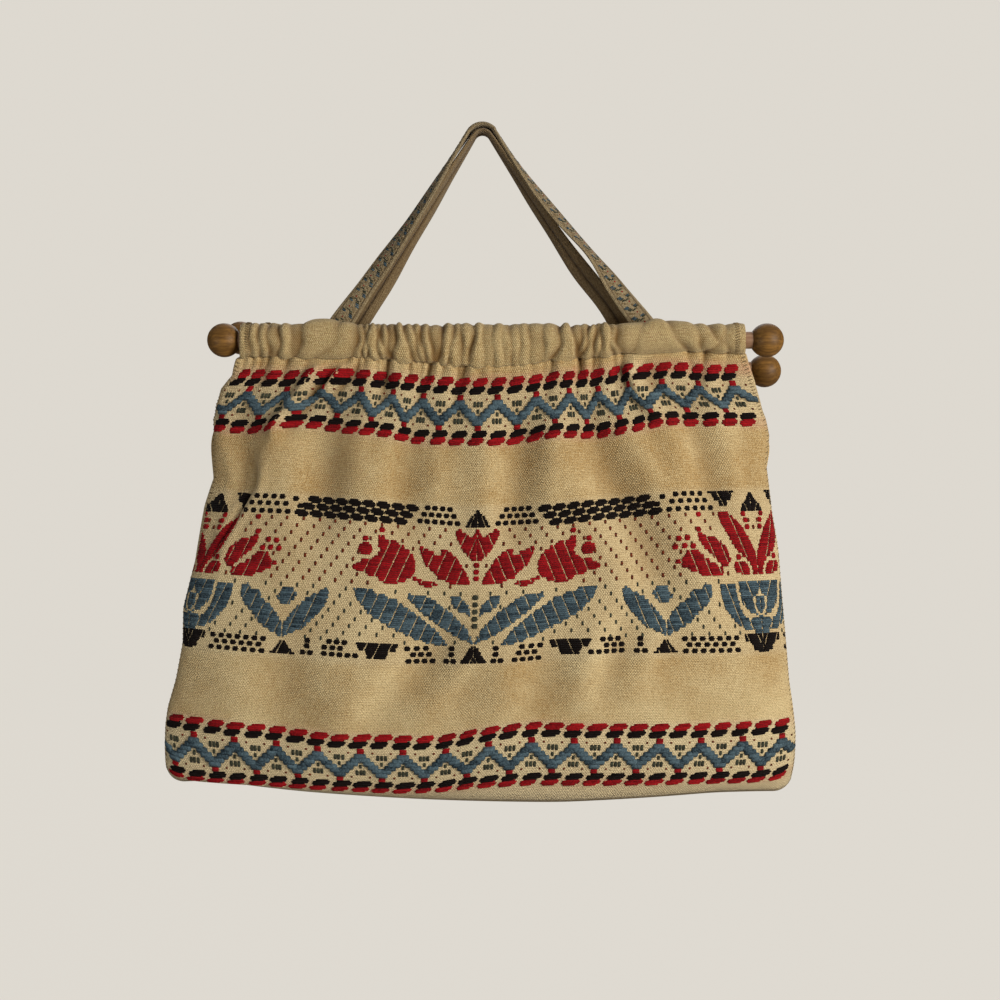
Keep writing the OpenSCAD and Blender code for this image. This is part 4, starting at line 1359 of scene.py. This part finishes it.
def strapSection():
    # folded band: stitched grooves near the edges of the outer face, a fold line sunk along the inner one
    half, thick, inset = strap["width"] / 2, strap["thick"] / 2, strap["inset"]
    outer = [(-half, 0.0), (-half + 0.5, 0.8), (-half + 1.5, 1.25), (-half + inset, 1.0),
             (-half + 2.8, 1.35),
             (0, 1.5), (half - 2.8, 1.35), (half - inset, 1.0), (half - 1.5, 1.25), (half - 0.5, 0.8),
             (half, 0.0)]
    inner = [(half - 0.5, -0.8), (half - 1.6, -1.3), (2.0, -1.5), (0.6, -1.35), (0.1, -0.7), (-0.5, -1.2),
             (-2.0, -1.45), (-half + 1.6, -1.3), (-half + 0.5, -0.8)]
    return np.array(outer + inner) * [1, thick / 1.5]


def makeStrap(side):
    line, section = strapLine(side), strapSection()
    obj, row, col, *_ = clothGrid(sideNames[side] + "Strap", len(line) - 1, len(section))
    outward = np.stack([np.cos(line[:, 3]), 0 * line[:, 3], np.sin(line[:, 3])], 1)
    turn = line[:, 4:5]
    edge = -side * np.cos(turn) * outward + np.sin(turn) * [0, 1, 0]
    face = np.sin(turn) * outward + side * np.cos(turn) * np.array([0, 1, 0])
    length = np.concatenate([[0], np.cumsum(np.linalg.norm(np.diff(line[:, :3], axis=0), axis=1))])
    puff = 1 + 0.05 * np.sin(length / 9 + side) + 0.04 * np.sin(length / 23)  # the band is not quite even
    wrapped = np.concatenate([section, section[:1]])
    points = (line[None, :, :3] + wrapped[:, None, 0:1] * puff[None, :, None] * edge[None]
              + wrapped[:, None, 1:2] * face[None])
    girth = np.concatenate([[0], np.cumsum(np.linalg.norm(np.diff(wrapped, axis=0), axis=1))])
    along, around = np.meshgrid(length, girth)
    writePoints(obj, points[row, col] * mm)
    flatUv(obj, along[row, col] * mm, around[row, col] * mm)
    # painted shade in the fold line sunk along the inner face and in the stitched grooves of the outer face
    groove = np.clip(1 - np.abs(wrapped[:, 0] - 0.1) / 1.2, 0, 1) * (wrapped[:, 1] < 0)
    fromEdge = np.abs(np.abs(wrapped[:, 0]) - strap["width"] / 2 + strap["inset"])
    seamLine = np.clip(1 - fromEdge / 0.8, 0, 1) * (wrapped[:, 1] > 0)
    pointValue(obj, "paintedShade", (0.8 * np.maximum(groove, seamLine))[row])
    pickOnly(obj)
    bpy.ops.object.mode_set(mode="EDIT")
    bpy.ops.mesh.select_all(action="SELECT")
    bpy.ops.mesh.remove_doubles(threshold=1e-6)
    bpy.ops.mesh.select_all(action="DESELECT")
    bpy.ops.mesh.select_non_manifold()
    bpy.ops.mesh.fill()
    bpy.ops.mesh.select_all(action="SELECT")
    bpy.ops.mesh.normals_make_consistent(inside=False)
    bpy.ops.object.mode_set(mode="OBJECT")
    smoothShade(obj, 50)
    # the back strap takes the darker copy, as painted shade
    setMaterial(obj, strapCloth if side == front else shadedStrapCloth)
    return obj, line, edge, face, length


straps, strapFrames = {}, {}
for side in (front, back):
    straps[side], *strapFrames[side] = makeStrap(side)
print("straps sewn")


# Stitches

def layBars(name, middles, ways, ups, size, material, seed):
    co, shape = shortFloat
    long, wide, tall = size
    middles, ways, ups = np.array(middles), np.array(ways), np.array(ups)
    ways = ways / np.linalg.norm(ways, axis=1, keepdims=True)
    sides = np.cross(ups, ways)
    sides /= np.linalg.norm(sides, axis=1, keepdims=True)
    ups = np.cross(ways, sides)
    points = (middles[:, None] + co[None, :, 0:1] * long * ways[:, None]
              + co[None, :, 1:2] * wide * sides[:, None] + co[None, :, 2:3] * tall * ups[:, None])
    faces = [[v + k * len(co) for v in f] for k in range(len(middles)) for f in shape]
    tone = np.repeat(np.random.default_rng(seed).uniform(0, 1, len(middles)), len(co))
    return meshFrom(name, points.reshape(-1, 3) * mm, faces, tone, material)


# sizes are length, width and height; the hem counts columns of the casing's grid
stitches = {
    "edge": {"slit": (1.5, 46, 2.3), "seam": (47, 292, 3.6), "outer": 218.6, "inner": 216.2, "slant": 0.8,
             "lift": 0.05, "size": (3.0, 0.7, 0.7), "seed": 61},
    "hem": {"near": 3, "middle": 5, "far": 9, "slant": 1.2, "lift": 0.25, "size": (3.4, 0.6, 0.6),
            "seed": 62},
    "strap": {"pitch": 2.6, "end": 14, "lift": 1.12, "size": (1.9, 0.5, 0.5), "seed": 63},
}


def edgeStitches(side):
    # overcast stitches along the open slits and the side seams
    kind = stitches["edge"]
    middles, ways, ups = [], [], []
    for end in (-1, 1):
        down = np.concatenate([np.arange(*kind["slit"]), np.arange(*kind["seam"])])
        place, outward = onCloth(side, np.full(down.shape, end * kind["outer"]), down)
        inner, _ = onCloth(side, np.full(down.shape, end * kind["inner"]), down + kind["slant"])
        middles.append((place + inner) / 2 + outward * kind["lift"])
        ways.append(place - inner)
        ups.append(outward)
    name = sideNames[side] + "EdgeStitches"
    middles, ways, ups = (np.concatenate(parts) for parts in (middles, ways, ups))
    return layBars(name, middles, ways, ups, kind["size"], yarns["sewing"], kind["seed"])


def casingStitches(side):
    # a hem of slanting stitches round each end of the casing
    kind, grid = stitches["hem"], casingPoints[side]
    middles, ways, ups = [], [], []
    for columns in (grid, grid[:, ::-1]):
        near, far = columns[:, kind["near"]], columns[:, kind["far"]]
        centre = columns[:, kind["middle"]].mean(0)
        for k in range(1, len(grid) - 1):
            mid = (near[k] + far[k]) / 2
            middles.append(mid + kind["lift"] * (mid - centre) / np.linalg.norm(mid - centre))
            step = grid[k + 1, kind["middle"]] - grid[k, kind["middle"]]
            ways.append(far[k] - near[k] + kind["slant"] * step)
            ups.append(mid - centre)
    name = sideNames[side] + "HemStitches"
    return layBars(name, middles, ways, ups, kind["size"], yarns["sewing"], kind["seed"])


def strapAt(values, q, length):
    return np.array([np.interp(q, length, values[:, k]) for k in range(3)])


def strapStitches(side):
    kind = stitches["strap"]
    line, edge, face, length = strapFrames[side]
    middles, ways, ups = [], [], []
    for way in (-1, 1):
        for q in np.arange(kind["end"], length[-1] - kind["end"], kind["pitch"]):
            e, f, p = (strapAt(values, q, length) for values in (edge, face, line))
            middles.append(p + way * (strap["width"] / 2 - strap["inset"]) * e + kind["lift"] * f)
            ways.append(strapAt(line, q + 0.5, length) - strapAt(line, q - 0.5, length))
            ups.append(f)
    name = sideNames[side] + "StrapStitches"
    return layBars(name, middles, ways, ups, kind["size"], yarns["sewing"], kind["seed"])


# one repeat of the woven figure on a strap: colour, length of a float, (along, across) of each
figure = {"pitch": 8.2, "start": 15, "end": 22, "jog": 0.15, "lift": 1.42, "wide": 1.15, "tall": 0.5,
          "seeds": {front: 70, back: 72}, "toneSeed": 72,
          "floats": [("blue", 2.9, [(0, -3.2), (1.1, -2.6), (1.6, 2.8)]),
                     ("dark", 2.7, [(2.2, -2.0), (3.3, -1.4), (2.7, 3.2), (4.0, 0.6)]),
                     ("red", 1.0, [(6.0, 1.4)]),
                     ("sewing", 1.4, [(4.6, -3.4), (5.6, -2.2), (6.4, -0.8), (0.4, 1.6), (4.4, 2.6)])]}


def strapFloats(side):
    # the woven figure that shows on the outer face of a strap
    line, edge, face, length = strapFrames[side]
    rng = np.random.default_rng(figure["seeds"][side])
    made = []
    for colour, long, spots in figure["floats"]:
        middles, ways, ups = [], [], []
        for start in np.arange(figure["start"], length[-1] - figure["end"], figure["pitch"]):
            for along, across in spots:
                q = start + along + rng.normal(0, figure["jog"])
                e, f, p = (strapAt(values, q, length) for values in (edge, face, line))
                middles.append(p + across * e + figure["lift"] * f)
                ways.append(e)
                ups.append(f)
        made.append(layBars(f"{sideNames[side]}StrapFloats_{colour}", middles, ways, ups,
                            (long, figure["wide"], figure["tall"]), yarns[colour], figure["toneSeed"]))
    return made


sewn = {side: [edgeStitches(side), casingStitches(side)] for side in (front, back)}
strapTrims = {side: [strapStitches(side)] + strapFloats(side) for side in (front, back)}
print("stitches done")


# Who rides on what

for side, word in sideNames.items():
    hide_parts(word + "_panel")
    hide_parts(word + "_casing")
    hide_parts(word + "_handle")
    for piece in [panels[side], casings[side], straps[side], *trims[side], *sewn[side], *strapTrims[side]]:
        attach(piece, "bag")
    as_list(strapTrims[side])

low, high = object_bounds()
for name, (lower, upper) in {"visual": (low, high), "cad": (cadLow, cadHigh)}.items():
    print(name, "box:", [round(h - l, 4) for l, h in zip(lower, upper)])
